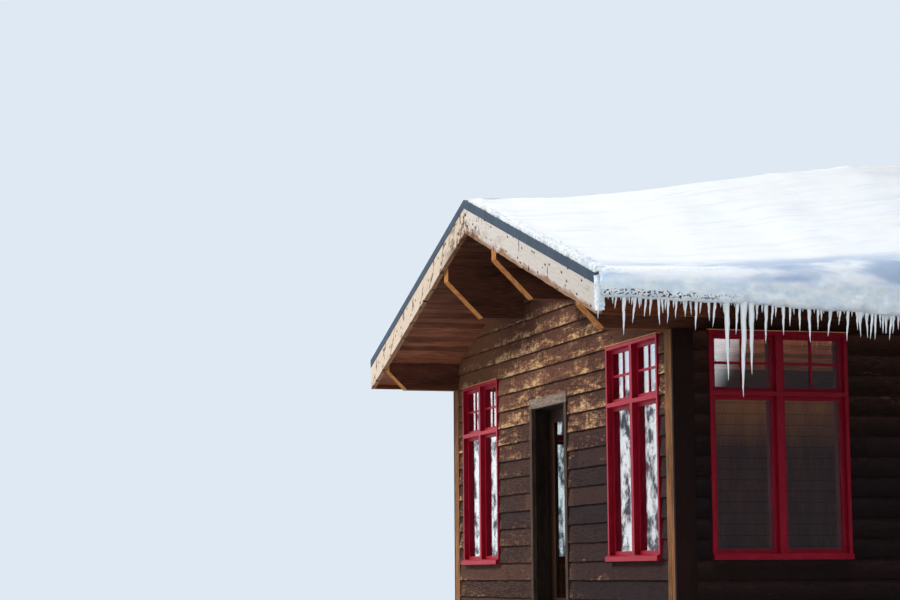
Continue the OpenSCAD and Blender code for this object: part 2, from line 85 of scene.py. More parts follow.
ROOFING_LIFT = ROOF_LOW.z - soffit_z(ROOF_HIGH.x) + 0.008
BACKDROP = "#dfe9f3"
WHITE_PIECES = "snow and ice"  # what the lamp for snow and ice may reach
FIT = 1 * MM  # clearance between pieces
LAP = 12 * MM  # how far a siding board runs up behind the next one
THROUGH = 100 * MM  # how far a cutter reaches to each side of a wall's face
HEAD_CASING = 90.5 * MM  # height of the casing over the door
MID_PURLIN_W = 140 * MM
SNOW_STEP = 0.04  # how finely the snow's hanging edge is measured along the ridge


def linear(hex_colour):
    """An sRGB hex colour as linear red, green and blue."""
    channels = (int(hex_colour[i : i + 2], 16) / 255 for i in (1, 3, 5))
    return tuple(c / 12.92 if c <= 0.04045 else ((c + 0.055) / 1.055) ** 2.4 for c in channels)


def size_property(name, description, metres):
    return bpy.props.FloatProperty(
        name=name, description=description, default=metres, min=0, unit="LENGTH", subtype="DISTANCE"
    )


def colour_property(name, description, hex_colour):
    return bpy.props.FloatVectorProperty(
        name=name, description=description, default=linear(hex_colour), size=3, min=0, max=1, subtype="COLOR"
    )


class ChaletSizes(bpy.types.PropertyGroup):
    """Sizes of the boards, bars and snow"""

    exposure: size_property("Siding exposure", "Height of each siding board that shows", 0.165)
    butt: size_property("Siding butt", "Thickness of a siding board at its lower edge", 0.030)
    tip: size_property("Siding tip", "Thickness of a siding board at its upper edge", 0.011)
    edge_wave: size_property("Edge wave", "How far the lower edges of the siding wander", 0.016)
    joint: size_property("Joint", "Gap where two siding boards meet end to end", 0.003)
    corner_board: size_property("Corner board", "Width of the corner boards", 0.146)
    soffit_board: size_property("Soffit board", "Width of a soffit board", 0.118)
    soffit_thick: size_property("Soffit thickness", "Thickness of the soffit boards", 0.020)
    window: size_property("Window width", "Width of a window over its frame", 1.210)
    frame_face: size_property("Frame face", "Face width of a window's jambs and head", 0.030)
    mullion: size_property("Mullion", "Width of a window's mullion", 0.056)
    sash_face: size_property("Sash face", "Width of a sash's stiles and rails", 0.033)
    sash_depth: size_property("Sash depth", "Thickness of a sash", 0.040)
    pane: size_property("Pane", "Thickness of the glass units", 0.016)
    transom: size_property("Transom", "Height of the transom above the house's base", 2.088)
    transom_bar: size_property("Transom bar", "Height of the transom bar", 0.036)
    bar: size_property("Glazing bar", "Width of a glazing bar", 0.021)
    snow_grain: size_property("Snow grain", "Size of the facets that the snow's surface is drawn with", 0.034)
    icicle: size_property("Longest icicle", "Length of the longest icicle", 0.73)


class ChaletColours(bpy.types.PropertyGroup):
    """Colours of the chalet's finishes"""

    siding_dark: colour_property("Siding stain", "Stain left in the siding's sheltered grain", "#2a1d1a")
    siding_brown: colour_property("Siding brown", "The siding's common brown", "#4f3a33")
    siding_tan: colour_property("Siding tan", "Raised grain worn to bare wood", "#b58f6a")
    red: colour_property("Window red", "Paint of the window joinery", "#a01029")
    slate: colour_property("Roof metal", "Coating of the roofing and flashings", "#283646")
    bleached: colour_property("Barge boards", "Sun-bleached barge boards", "#d6d0cb")
    soffit: colour_property("Soffit", "Stain of the soffit boards", "#543022")
    raw_wood: colour_property("Cut purlin ends", "Raw wood on the cut purlin tails", "#c98a4a")
    snow: colour_property("Snow", "Colour of the settled snow", "#f4f7fb")


# Modelling helpers


def deselect_all():
    if bpy.context.object and bpy.context.object.mode != "OBJECT":
        bpy.ops.object.mode_set(mode="OBJECT")
    bpy.ops.object.select_all(action="DESELECT")


def select_only(*pieces):
    deselect_all()
    for piece in pieces:
        piece.select_set(True)
    bpy.context.view_layer.objects.active = pieces[0]


def settle(piece):
    """Puts the object's place and size into its mesh."""
    select_only(piece)
    bpy.ops.object.transform_apply(location=True, rotation=True, scale=True)
    return piece


def add_block(name, low, high):
    """A block between two corners."""
    deselect_all()
    low, high = Vector(low), Vector(high)
    bpy.ops.mesh.primitive_cube_add(size=1, location=(low + high) / 2)
    piece = bpy.context.object
    piece.name = piece.data.name = name
    piece.scale = high - low
    return settle(piece)


def pick(piece, elements, wanted):
    """Selects the elements whose place passes a test, and enters edit mode."""
    select_only(piece)
    bpy.ops.object.mode_set(mode="EDIT")
    bpy.ops.mesh.select_mode(type=elements)
    bpy.ops.mesh.select_all(action="DESELECT")
    bpy.ops.object.mode_set(mode="OBJECT")
    mesh = piece.data
    group = {"VERT": mesh.vertices, "EDGE": mesh.edges, "FACE": mesh.polygons}[elements]
    for element in group:
        element.select = bool(wanted(element))
    bpy.ops.object.mode_set(mode="EDIT")


def leave_edit():
    bpy.ops.object.mode_set(mode="OBJECT")


def shift(piece, elements, wanted, offset):
    """Moves the elements whose place passes a test."""
    pick(piece, elements, wanted)
    bpy.ops.transform.translate(value=offset)
    leave_edit()


def cut_along(piece, axis, cuts):
    """Subdivides the edges that run along one axis."""
    points = piece.data.vertices

    def runs_along(one):
        step = points[one.vertices[1]].co - points[one.vertices[0]].co
        return abs(step[axis]) > 0.99 * step.length > 0

    pick(piece, "EDGE", runs_along)
    bpy.ops.mesh.subdivide(number_cuts=cuts)
    leave_edit()


def smooth(piece, degrees):
    select_only(piece)
    bpy.ops.object.shade_smooth_by_angle(angle=math.radians(degrees))


def bisect(piece, through, normal):
    """Cuts off what lies on the normal's side of a plane and closes the cut."""
    pick(piece, "FACE", lambda face: True)
    bpy.ops.mesh.bisect(plane_co=through, plane_no=normal, use_fill=True, clear_outer=True)
    leave_edit()


def apply_modifier(piece, kind, **settings):
    select_only(piece)
    modifier = piece.modifiers.new(kind.title(), kind)
    for key, value in settings.items():
        setattr(modifier, key, value)
    bpy.ops.object.modifier_apply(modifier=modifier.name)


def clouds(name, size, depth):
    """A cloud texture that roughens a surface with bumps of some size."""
    texture = bpy.data.textures.new(name, "CLOUDS")
    texture.noise_scale = size
    texture.noise_depth = depth
    return texture


def roughen(piece, texture, direction, strength, middle, group=""):
    """Displaces a piece, or one vertex group of it, by a texture in its own coordinates."""
    apply_modifier(piece, "DISPLACE", texture=texture, texture_coords="LOCAL", direction=direction,
                   strength=strength, mid_level=middle, vertex_group=group)


def mark_lower_edge(piece, below):
    """Puts the vertices below a height in a vertex group."""
    lower = piece.vertex_groups.new(name="lower edge")
    lower.add([v.index for v in piece.data.vertices if v.co.z < below], 1.0, "REPLACE")


def mirror(piece, axis):
    """Mirrors a piece across the building's middle; its faces are turned outwards later."""
    piece.data.transform(Matrix.Scale(-1, 4, axis))


def lay_on_slope(piece, top):
    """Tilts a flat piece to the roof's pitch, with its start at a height over the ridge line."""
    piece.data.transform(Matrix.Rotation(PITCH, 4, "Y"))
    piece.data.transform(Matrix.Translation((0, 0, top)))


def copy_of(piece, name, offset=(0, 0, 0)):
    """A copy with its own mesh, moved inside that mesh."""
    twin = piece.copy()
    twin.data = piece.data.copy()
    twin.name = twin.data.name = name
    bpy.context.collection.objects.link(twin)
    twin.data.transform(Matrix.Translation(offset))
    return twin


def join(name, pieces):
    select_only(*pieces)
    if len(pieces) > 1:
        bpy.ops.object.join()
    whole = bpy.context.object
    whole.name = whole.data.name = name
    return whole


def turn(piece, degrees):
    """Turns a piece about the building's upright axis, inside its mesh."""
    piece.data.transform(Matrix.Rotation(math.radians(degrees), 4, "Z"))
    piece.data.update()
    return piece


def remove(piece):
    bpy.data.objects.remove(piece, do_unlink=True)


def outward(piece):
    """Turns every face outwards."""
    select_only(piece)
    bpy.ops.object.mode_set(mode="EDIT")
    bpy.ops.mesh.select_all(action="SELECT")
    bpy.ops.mesh.normals_make_consistent(inside=False)
    bpy.ops.object.mode_set(mode="OBJECT")


def finish_piece(piece, material, body=HOUSE):
    """Gives a finished piece its one material and its body."""
    piece.data.materials.clear()
    piece.data.materials.append(material)
    for face in piece.data.polygons:
        face.material_index = 0
    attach(piece, body)
    if material in (FINISHES["snow"], FINISHES["crust"], FINISHES["ice"]):
        bpy.data.collections[WHITE_PIECES].objects.link(piece)
    return piece


# Material helpers


def rgba(colour):
    """A hex colour, or a colour set in the panel, as linear values with alpha."""
    return (*(linear(colour) if isinstance(colour, str) else colour), 1)


def feed(node, inputs):
    """Links sockets, or sets plain values, to a node's inputs."""
    for key, value in inputs.items():
        if isinstance(value, bpy.types.NodeSocket):
            node.id_data.links.new(value, node.inputs[key])
        else:
            node.inputs[key].default_value = value


def add(tree, kind, inputs=(), output=0, **settings):
    """Adds one shader node with its settings, feeds its inputs in order or by name, and returns an output."""
    made = tree.nodes.new("ShaderNode" + kind)
    for key, value in settings.items():
        setattr(made, key, value)
    feed(made, inputs if isinstance(inputs, dict) else dict(enumerate(inputs)))
    return made.outputs[output]


def new_material(name):
    """A node material, with its tree and its Object coordinates."""
    material = bpy.data.materials.new(name)
    material.use_nodes = True
    return material, material.node_tree, add(material.node_tree, "TexCoord", output="Object")


def dress(material, inputs, relief=None, strength=0.0, depth=0.0):
    """Feeds a material's shader, with a relief of some strength that is as deep as some millimetres."""
    tree = material.node_tree
    feed(tree.nodes["Principled BSDF"], inputs)
    if relief:
        raised = add(tree, "Bump", {"Height": relief, "Strength": strength, "Distance": depth * MM})
        feed(tree.nodes["Principled BSDF"], {"Normal": raised})
    return material


def axes(tree, vector):
    """The three parts of a vector."""
    return add(tree, "SeparateXYZ", (vector,)).node.outputs


def pattern(tree, spot, size, stretch=(1, 1, 1), detail=4, rough=0.5, warp=0.0):
    """Clouds about so many millimetres wide, drawn out along the axes whose stretch is below 1."""
    return add(tree, "TexNoise", {
        "Vector": add(tree, "Mapping", {"Vector": spot, "Scale": stretch}),
        "Scale": 1000 / size, "Detail": detail, "Roughness": rough, "Distortion": warp,
    }, "Fac")


def where(tree, share, *masks):
    """A share, kept where all masks are full. A mask is a socket, or a value with its fade's two ends."""
    for mask in masks:
        if isinstance(mask, tuple):
            mask = add(tree, "MapRange", mask, interpolation_type="SMOOTHSTEP")
        share = mask if share == 1 else add(tree, "Math", (share, mask), operation="MULTIPLY")
    return share


def total(tree, start, *terms):
    """A start value with terms added to it, each a weight and the masks that it weighs."""
    for weight, *masks in terms:
        start = add(tree, "Math", (start, where(tree, weight, *masks)), operation="ADD")
    return start


def lay(tree, skin, *layers):
    """Lays colours over a skin, each with its share and the masks that let it through."""
    for colour, share, *masks in layers:
        under, over = (c if isinstance(c, bpy.types.NodeSocket) else rgba(c) for c in (skin, colour))
        skin = add(tree, "Mix", {0: where(tree, share, *masks), 6: under, 7: over}, 2, data_type="RGBA")
    return skin


# Finishes


def siding_material(colours, sizes):
    """Rough-sawn cedar, stained brown: saw marks across each board, raised grain worn to tan at its foot."""
    material, tree, spot = new_material("rough sawn cedar siding")
    x, y, z = axes(tree, spot)
    tone = add(tree, "Attribute", output="Fac", attribute_name="tone")
    # Each length of board reads its own place in the patterns
    own = add(tree, "VectorMath", (tone, (37, 23, 0), spot), operation="MULTIPLY_ADD")
    rise = total(tree, -SIDING_START / sizes.exposure, (1 / sizes.exposure, z))
    course = add(tree, "Math", (rise,), operation="FRACT")
    off_middle = add(tree, "Math", (x,), operation="ABSOLUTE")
    gap = total(tree, RIDGE_SOFFIT_Z, (-SLOPE, off_middle), (-1, z))
    grain = pattern(tree, own, 9, (0.09, 0.09, 1), 5, 0.65)
    saw = pattern(tree, own, 8, (1, 1, 0.12), 2)
    blotch = pattern(tree, own, 68, (0.22, 0.22, 1), 7, 0.7, 0.5)
    broad = pattern(tree, spot, 600, (0.5, 0.5, 1), 2)
    flecks = pattern(tree, own, 15, (0.3, 0.3, 1), 5, 0.7)
    drips = pattern(tree, own, 18, (0.4, 0.4, 0.16), 4, 0.6)
    cracks = where(tree, 1, (pattern(tree, own, 22, (0.35, 0.35, 1), 6, 0.7), 0.59, 0.66))
    # Painted shade low on the front wall's right
    shade_low_right = where(tree, 1, (z, 2.15, 1.75), (x, 0.45, 0.75), (y, 1, -1))
    under_eave = where(tree, 1, (off_middle, HALF_W + 0.004, HALF_W + 0.03))
    wear = total(
        tree, -0.893,
        (1, blotch), (0.42, grain), (0.22, saw), (0.34, flecks), (0.36, drips), (0.5, broad),
        # More towards each board's foot and high on the wall, less under the roof, and less where shade is
        # painted low on the right
        (-0.18, course), (0.14, (z, 1.75, 2.25)), (-0.16, (gap, 0.85, 0.15)),
        (-0.10, shade_low_right), (-0.12, under_eave),
    )
    # Painted warm light near the roof
    warm_light = add(tree, "Math", (where(tree, 0.45, (z, 1.5, PLATE_Z + 0.3)), where(tree, 0.6, (gap, 0.7, 0.2))),
               operation="MAXIMUM")
    worn = lay(tree, "#a87a52", (colours.siding_tan, 1, (broad, 0.40, 0.60)))
    lap_shadow_share = total(tree, 0.2, (0.6, (blotch, 0.38, 0.58)))
    skin = lay(
        tree, colours.siding_dark,
        (colours.siding_brown, 1, (grain, 0.36, 0.62)),
        # Lighter and darker boards
        ("#634539", 0.5, (tone, 0.45, 0.95)),
        ("#2f2425", 0.6, (tone, 0.40, 0.05)),
        # Painted warm light near the roof, a painted pool of light high on the left, painted shade low on the
        # right
        ("#6e4635", 1, warm_light),
        ("#8c6048", 0.55, (z, 1.9, 2.4), (x, -0.9, -1.9)),
        ("#241c21", 0.6, shade_low_right),
        # Stain worn off in three steps
        ("#7a5644", 0.7, (wear, 0.50, 0.64)),
        (worn, 1, (wear, 0.59, 0.75)),
        ("#d8b88e", 0.8, (wear, 0.68, 0.82)),
        # Cracks, painted shade under the side eaves, and a painted shadow under each lap
        ("#1f1411", 0.8, cracks),
        ("#0f0908", 0.75, under_eave),
        # Painted shadow under each lap, patchy along the course
        ("#160e0c", 1, (course, 0.86, 0.98), lap_shadow_share),
    )
    relief = total(tree, 0, (0.8, grain), (0.3, saw), (-0.5, cracks))
    sockets = {"Base Color": skin, "Roughness": 0.85, "Specular IOR Level": 0.06}
    return dress(material, sockets, relief, 0.9, 5)


def plain_wood(name, dark, light, grain_axis, rough=0.7, fibre=7, patch=160, extra=None):
    """Wood with its grain along one axis; extra paints further marks over it."""
    material, tree, spot = new_material(name)

    def drawn_out(amount):
        return [amount if axis == grain_axis else 1 for axis in "XYZ"]

    fibres = pattern(tree, spot, fibre, drawn_out(0.06), 5, 0.6, 0.4)
    patches = pattern(tree, spot, patch, drawn_out(0.25), 4, 0.55)
    skin = lay(tree, dark, (light, 1, (total(tree, 0, (0.55, fibres), (0.45, patches)), 0.34, 0.66)))
    if extra:
        skin = extra(tree, spot, skin)
    sockets = {"Base Color": skin, "Roughness": rough, "Specular IOR Level": 0.08}
    return dress(material, sockets, fibres, 0.35, 1.5)


def level_grain(over):
    """Turns the grain level above a height, for the head of a casing."""

    def paint(tree, spot, skin):
        up = add(tree, "Math", (axes(tree, spot)[2], over), operation="GREATER_THAN")
        fibres = pattern(tree, spot, 8, (0.06, 1, 1), 5, 0.6, 0.4)
        level = lay(tree, "#5b4c43", ("#94857a", 1, (fibres, 0.34, 0.64)))
        return lay(tree, skin, (level, 1, up))

    return paint


def board_tones(tree, spot, skin):
    """Shades each board by its own tone, with weathered streaks along it and painted shade under the ridge.
    """
    tone = add(tree, "Attribute", output="Fac", attribute_name="tone")
    streak = pattern(tree, spot, 45, (1, 0.10, 1), 5, 0.6)
    return lay(
        tree, skin,
        ("#8a5640", 0.45, (tone, 0.5, 1.0)),
        ("#2c1812", 0.5, (tone, 0.5, 0.0)),
        ("#a06c50", 0.5, (streak, 0.58, 0.72)),
        # Painted shade under the ridge
        ("#22130f", 0.7, (axes(tree, spot)[2], RIDGE_SOFFIT_Z - 0.9, RIDGE_SOFFIT_Z - 0.2)),
    )


def long_checks(tree, spot, skin):
    """Grey weathering in long patches, and drying checks that run up the board."""
    grey = pattern(tree, spot, 60, (1, 1, 0.12), 5, 0.65)
    crack = pattern(tree, spot, 16, (1, 1, 0.03), 4, 0.6)
    return lay(tree, skin, ("#6f5a4b", 0.6, (grey, 0.54, 0.66)), ("#2c1a11", 0.8, (crack, 0.60, 0.66)))


def painted_eave_shade(tree, spot, skin):
    """Paints shade on the wood under the eaves of the side walls, where the sun never reaches."""
    parts = axes(tree, spot)
    outer = add(tree, "Math", (parts[0],), operation="ABSOLUTE")
    along = (parts[1], -HALF_L - 0.06, -HALF_L + 0.3)
    return lay(tree, skin, ("#120a08", 0.7, (outer, HALF_W - 0.25, HALF_W - 0.15), along))


def raw_tail(colour):
    """Paints a purlin's cut tail in raw wood, its sides lighter towards their foot as painted bounce light,
    and painted shade under the side eaves.
    """

    def paint(tree, spot, skin):
        # Painted bounce light: the sides lighter towards their foot
        skin = lay(tree, skin, ("#6f4429", 0.7, (axes(tree, spot)[2], PLATE_Z + 0.075, PLATE_Z + 0.01)))
        # Painted shade under the side eaves
        skin = painted_eave_shade(tree, spot, skin)
        facing = axes(tree, add(tree, "NewGeometry", output="True Normal"))[1]
        steep = add(tree, "Math", (facing,), operation="ABSOLUTE")
        ring = pattern(tree, spot, 24, (1, 0.5, 0.5), 5, 0.6)
        raw = lay(tree, "#8a4f26", (colour, 1, (ring, 0.3, 0.7)))
        return lay(tree, skin, (raw, 1, add(tree, "Math", (steep, 0.5), operation="GREATER_THAN")))

    return paint


def board_lines(width, axis, colour):
    """Paints dark joints between boards of one width laid side by side along an axis."""

    def paint(tree, spot, skin):
        count = where(tree, 1 / width, axes(tree, spot)["XYZ".index(axis)])
        within = add(tree, "Math", (count,), operation="FRACT")
        edge = add(tree, "Math", (total(tree, -0.5, (1, within)),), operation="ABSOLUTE")
        return lay(tree, skin, (colour, 1, (edge, 0.47, 0.49)))

    return paint


def barge_material(colours):
    """Pine boards bleached by the sun: pale grey-cream, a brown waney edge, dark knots and checks."""
    material, tree, spot = new_material("bleached pine barge boards")
    x, y, z = axes(tree, spot)
    along = add(tree, "Math", (x,), operation="ABSOLUTE")
    lift = total(tree, -RIDGE_SOFFIT_Z, (SLOPE, along), (1, z))
    # The two slopes read places of the patterns that lie 14 m apart
    u = total(tree, along, (7, add(tree, "Math", (x,), operation="SIGN")))
    board = add(tree, "CombineXYZ", (u, y, lift))
    face = add(tree, "CombineXYZ", (u, lift))
    left = where(tree, 1, (x, 0.02, -0.02))
    fibres = pattern(tree, board, 7, (0.04, 1, 1), 5, 0.6)
    stains = pattern(tree, board, 110, (0.4, 1, 1), 6, 0.62, 0.5)
    smudge = pattern(tree, board, 60, (0.7, 1, 1), 6, 0.62)
    bend = pattern(tree, board, 120, detail=3)
    rare = (pattern(tree, face, 190, detail=2), 0.41, 0.45)

    def cells(size, stretch, tilt):
        """Distance from the middles of cells about so many millimetres wide, for knots and short checks."""
        turned = add(tree, "Mapping", {"Vector": face, "Scale": stretch, "Rotation": (0, 0, tilt)})
        inputs = {"Vector": turned, "Scale": 1000 / size}
        return add(tree, "TexVoronoi", inputs, "Distance", voronoi_dimensions="2D")

    knot = where(tree, 1, (cells(105, (0.5, 1, 1), 0), 0.12, 0.07), rare)
    checks = total(tree, cells(260, (1.5, 0.3, 1), 0.35), (0.06, bend))
    split = where(tree, 1, (checks, 0.100, 0.085), (smudge, 0.50, 0.56))
    # The left slope has saw arcs, the right one bark along its lower edge
    row = add(tree, "Math", (total(tree, 0, (1 / 0.38, along), (1.8, lift), (0.9, bend)),), operation="FRACT")
    middle = add(tree, "Math", (total(tree, -0.5, (1, row)),), operation="ABSOLUTE")
    arcs = where(tree, 1, (middle, 0.075, 0.04), (stains, 0.40, 0.47), left)
    low = total(tree, -0.08, (0.16, stains), (-1, lift))
    facing = axes(tree, add(tree, "NewGeometry", output="True Normal"))[2]
    wane = add(tree, "Math", (
        where(tree, 1, (low, -0.034, 0.006), (x, -0.02, 0.02)), where(tree, 1, (facing, -0.6, -0.8))),
        operation="MAXIMUM")
    bark = lay(tree, "#6b3f25", ("#a8764c", 1, (fibres, 0.35, 0.65)))
    stained = total(tree, smudge, (0.10, (lift, 0.16, 0.0)))
    fresh = lay(tree, colours.bleached, ("#d3b48c", 0.45, (x, 0.1, -0.1)))
    skin = lay(
        tree, fresh,
        ("#b3a698", 0.5),
        (fresh, 1, (fibres, 0.36, 0.56)),
        ("#9a8878", 0.45, (stains, 0.56, 0.72)),
        ("#6f5343", 0.65, (smudge, 0.66, 0.74)),
        (bark, 0.85, wane),
        ("#5d3a28", 0.85, (along, 0.9, 0.15), (stained, 0.52, 0.62)),
        ("#241712", 0.95, knot),
        ("#33241c", 0.85, split),
        ("#4a3427", 0.8, arcs),
    )
    relief = total(tree, fibres, (-0.6, knot), (-0.6, split))
    sockets = {"Base Color": skin, "Roughness": 0.75, "Specular IOR Level": 0.08}
    return dress(material, sockets, relief, 0.5, 3)


def metal_material(colours):
    """Coil-coated steel, matt slate blue, with faint dust and dried runs."""
    material, tree, spot = new_material("slate coated steel")
    dust = pattern(tree, spot, 140, (1, 1, 0.3), 5, 0.6)
    fine = pattern(tree, spot, 9, detail=3, rough=0.6)
    skin = lay(tree, colours.slate, ("#344455", 1, (dust, 0.35, 0.75)), ("#222d39", 0.12, (fine, 0.55, 0.8)))
    sockets = {"Base Color": skin, "Roughness": 0.5, "Specular IOR Level": 0.08}
    return dress(material, sockets, fine, 0.02, 0.5)


def red_paint_material(colours):
    """Oil paint on planed joinery: crimson, half gloss, a little chalked, brush marks along the grain."""
    material, tree, spot = new_material("crimson painted joinery")
    chalk = pattern(tree, spot, 90, (1, 1, 0.5), 5, 0.6)
    brush = pattern(tree, spot, 5, (1, 1, 0.08), 3)
    off_middle = add(tree, "Math", (axes(tree, spot)[0],), operation="ABSOLUTE")
    skin = lay(
        tree, colours.red,
        ("#aa2038", 1, (chalk, 0.35, 0.75)),
        ("#7d0f22", 0.25, (brush, 0.6, 0.85)),
        # The shade of the side eaves
        ("#3a0811", 0.35, (off_middle, HALF_W - 0.24, HALF_W - 0.20)),
    )
    rough = total(tree, 0.28, (0.25, chalk))
    sockets = {"Base Color": skin, "Roughness": rough, "Specular IOR Level": 0.10}
    return dress(material, sockets, brush, 0.12, 0.6)


def glass_material():
    """Float glass in sealed units: clear, with a reflecting coat."""
    return dress(new_material("clear float glass")[0], {
        "Base Color": rgba("#eef4f4"), "Transmission Weight": 1.0, "IOR": 1.52, "Roughness": 0.0,
        "Coat Weight": 1.0, "Coat IOR": 1.6, "Coat Roughness": 0.0,
    })


def concrete_material():
    """Cast concrete: grey, clouded and pitted."""
    material, tree, spot = new_material("cast concrete")
    cloud = pattern(tree, spot, 260, detail=6, rough=0.6)
    pit_shade = pattern(tree, spot, 8, detail=3, rough=0.6)
    skin = lay(tree, "#77746e", ("#96938c", 1, (cloud, 0.3, 0.7)), ("#5c5954", 0.35, (pit_shade, 0.55, 0.7)))
    return dress(material, {"Base Color": skin, "Roughness": 0.9}, pit_shade, 0.35, 2)


def iron_material():
    """Black powder-coated iron fittings, rubbed in patches"""
    material, tree, spot = new_material("black coated iron")
    rub = pattern(tree, spot, 12, detail=4, rough=0.6)
    skin = lay(tree, "#1c1c1e", ("#3a3a3d", 1, (rub, 0.45, 0.75)))
    return dress(material, {"Base Color": skin, "Metallic": 0.6, "Roughness": 0.45}, rub, 0.1, 0.5)


def snow_material(name, colours, depth, pit_shade):
    """Settled snow: white, wind-rippled, glowing from within, bluer and glassier where its lip iced over."""
    material, tree, spot = new_material(name)
    x, y, z = axes(tree, spot)
    rim = add(tree, "Attribute", output="Fac", attribute_name="rim")
    wind = add(tree, "CombineXYZ", (total(tree, x, (0.10, y)), where(tree, 0.12, y)))
    ripples = pattern(tree, wind, 150, (1, 1, 1), 5, 0.6, 0.8)
    crust = pattern(tree, spot, 240, detail=5, rough=0.6)
    crystals = pattern(tree, spot, 16, detail=3, rough=0.6)
    hollow_shade = pattern(tree, spot, 420, (1, 0.35, 1), 4, 0.55, 0.3)
    cloudy = pattern(tree, spot, 70, (1, 0.7, 1), 6, 0.6)
    drops = pattern(tree, spot, 17, (1, 0.8, 1), 2)
    pits = pattern(tree, spot, 30, detail=5, rough=0.7)
    iced = where(tree, 1, (z, ROOF_LOW.z + 0.03, ROOF_LOW.z - 0.03))
    ice = lay(tree, "#dbe9f9", ("#f1f8ff", 1, (cloudy, 0.36, 0.66)))
    skin = lay(
        tree, "#eef3f8",
        (colours.snow, 1, (crust, 0.35, 0.75)),
        # Painted blue-grey shade along the wind ripples
        ("#d9e2ec", 0.5, (ripples, 0.50, 0.66)),
        # Painted blue shade in the hollows above the lip
        ("#9cb2ce", 0.85, (hollow_shade, 0.36, 0.58), (x, 3.10, 3.42)),
        (ice, 1, iced),
        # Painted shade in the gaps between the frozen drops over the front of the eave
        ("#35261f", 1, (rim, 0.012, 0.022), (rim, 0.075, 0.055), (y, -3.6, -4.4), (drops, 0.52, 0.58)),
        # Painted blue-grey shade in the pits of the crust
        ("#9fb2c8", pit_shade, (pits, 0.52, 0.42)),
    )
    relief = total(tree, ripples, (0.12, crystals), (0.8, cloudy, iced))
    return dress(material, {
        "Base Color": skin, "Roughness": total(tree, 0.7, (-0.4, iced)), "Specular IOR Level": 0.3,
        "Subsurface Weight": 0.7, "Subsurface Radius": (1.0, 1.1, 1.25), "Subsurface Scale": depth * MM,
    }, relief, 0.5, 25)


def ice_material():
    """Melt-water ice: milky where air froze in, glassy at its tips."""
    material, tree, spot = new_material("clear milky ice")
    milk = pattern(tree, spot, 30, (1, 1, 0.4), 4, 0.6)
    skin = lay(tree, "#f3f8fc", ("#feffff", 1, (milk, 0.35, 0.7)))
    return dress(material, {
        "Base Color": skin, "Transmission Weight": 0.06, "IOR": 1.31, "Roughness": 0.15,
        "Subsurface Weight": 0.25, "Subsurface Radius": (1.0, 1.05, 1.1), "Subsurface Scale": 6 * MM,
    }, milk, 0.3, 2)


FINISHES = {}


class CHALET_OT_finishes(bpy.types.Operator):
    """Makes the finishes and gives each CAD part its own"""

    bl_idname = "chalet.finishes"
    bl_label = "Finishes"

    def execute(self, context):
        colours = context.scene.chalet_colours
        # Woods give their dark and light grain; what stands in the weather is greyer and rougher
        FINISHES.update(
            siding=siding_material(colours, context.scene.chalet_sizes),
            red=red_paint_material(colours),
            glass=glass_material(),
            metal=metal_material(colours),
            barge=barge_material(colours),
            concrete=concrete_material(),
            iron=iron_material(),
            snow=snow_material("settled snow", colours, 70, 0.0),
            crust=snow_material("crusted snow", colours, 12, 0.55),
            ice=ice_material(),
            cap=plain_wood("raw fir drip caps", "#b07a48", "#d8a873", "X", 0.7, 7),
            corner=plain_wood(
                "weathered cedar corner boards", "#4f3320", "#a8744a", "Z", 0.75, 9, extra=long_checks
            ),
            # The side corner boards: the corner boards' wood in painted shade
            dark_corner=plain_wood("corner boards in painted shade", "#140b0a", "#251511", "Z", 0.75, 9),
            purlin=plain_wood(
                "stained fir purlins", "#3f2621", "#744939", "Y", 0.7, 8, extra=raw_tail(colours.raw_wood)
            ),
            # The fascias carry painted shade under the side eaves
            fascia=plain_wood("stained fir fascias", "#552a19", "#8a4a2c", "Y", 0.7, 8, extra=painted_eave_shade),
            soffit=plain_wood(
                "stained fir soffit boards", colours.soffit, "#a5684b", "Y", 0.6, 8, 150, extra=board_tones
            ),
            deck=plain_wood("sawn spruce", "#8a6138", "#b98a58", "Y"),
            lining=plain_wood(
                "spruce wall lining", "#6e4a2c", "#9a6d43", "Z", 0.6, 8,
                extra=board_lines(0.12, "Z", "#2a1a10"),
            ),
            floor=plain_wood(
                "worn pine floor", "#6b4a2e", "#96704a", "Y", 0.55, 8, extra=board_lines(0.14, "X", "#20150d")
            ),
            grey=plain_wood(
                "grey weathered fir", "#2f2622", "#5f4d43", "Z", 0.8, 7,
                extra=level_grain(DOOR_HIGH.z - HEAD_CASING),
            ),
            head=plain_wood("grey weathered fir, level", "#43352e", "#7c6858", "X", 0.8, 7),
            # The jambs are darkened as painted shade in the door's reveal
            jamb=plain_wood("weathered fir jambs in painted shade", "#1c1512", "#3a2e27", "Z", 0.8, 7),
            door=plain_wood("dark stained door", "#20130e", "#3b261b", "Z", 0.5, 7),
        )
        worn = {
            "foundation": "concrete", "floor": "floor", "gable_corner_boards": "corner",
            "side_corner_boards": "dark_corner", "eave_purlins": "purlin", "mid_purlins": "purlin",
            "left_soffit_boards": "soffit", "right_soffit_boards": "soffit",
            "left_roof_deck": "deck", "right_roof_deck": "deck",
            "left_barge_boards": "barge", "right_barge_boards": "barge", "eave_fascias": "fascia",
            "door_jambs": "jamb", "door_casings": "grey", "door_threshold": "head",
            "door_leaf": "door", "door_handle": "iron",
            "door_frame_hinges": "iron", "door_leaf_hinges": "iron", "roof_snow": "snow",
        }
        for name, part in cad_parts.items():
            if name in worn:
                finish = worn[name]
            elif "glass" in name:
                finish = "glass"
            elif "window" in name:
                finish = "red"
            elif "wall" in name or "gable" in name:
                finish = "lining"
            else:
                finish = "metal"
            for slot in part.material_slots:
                slot.material = FINISHES[finish]
            if not part.material_slots:
                part.data.materials.append(FINISHES[finish])
        return {"FINISHED"}


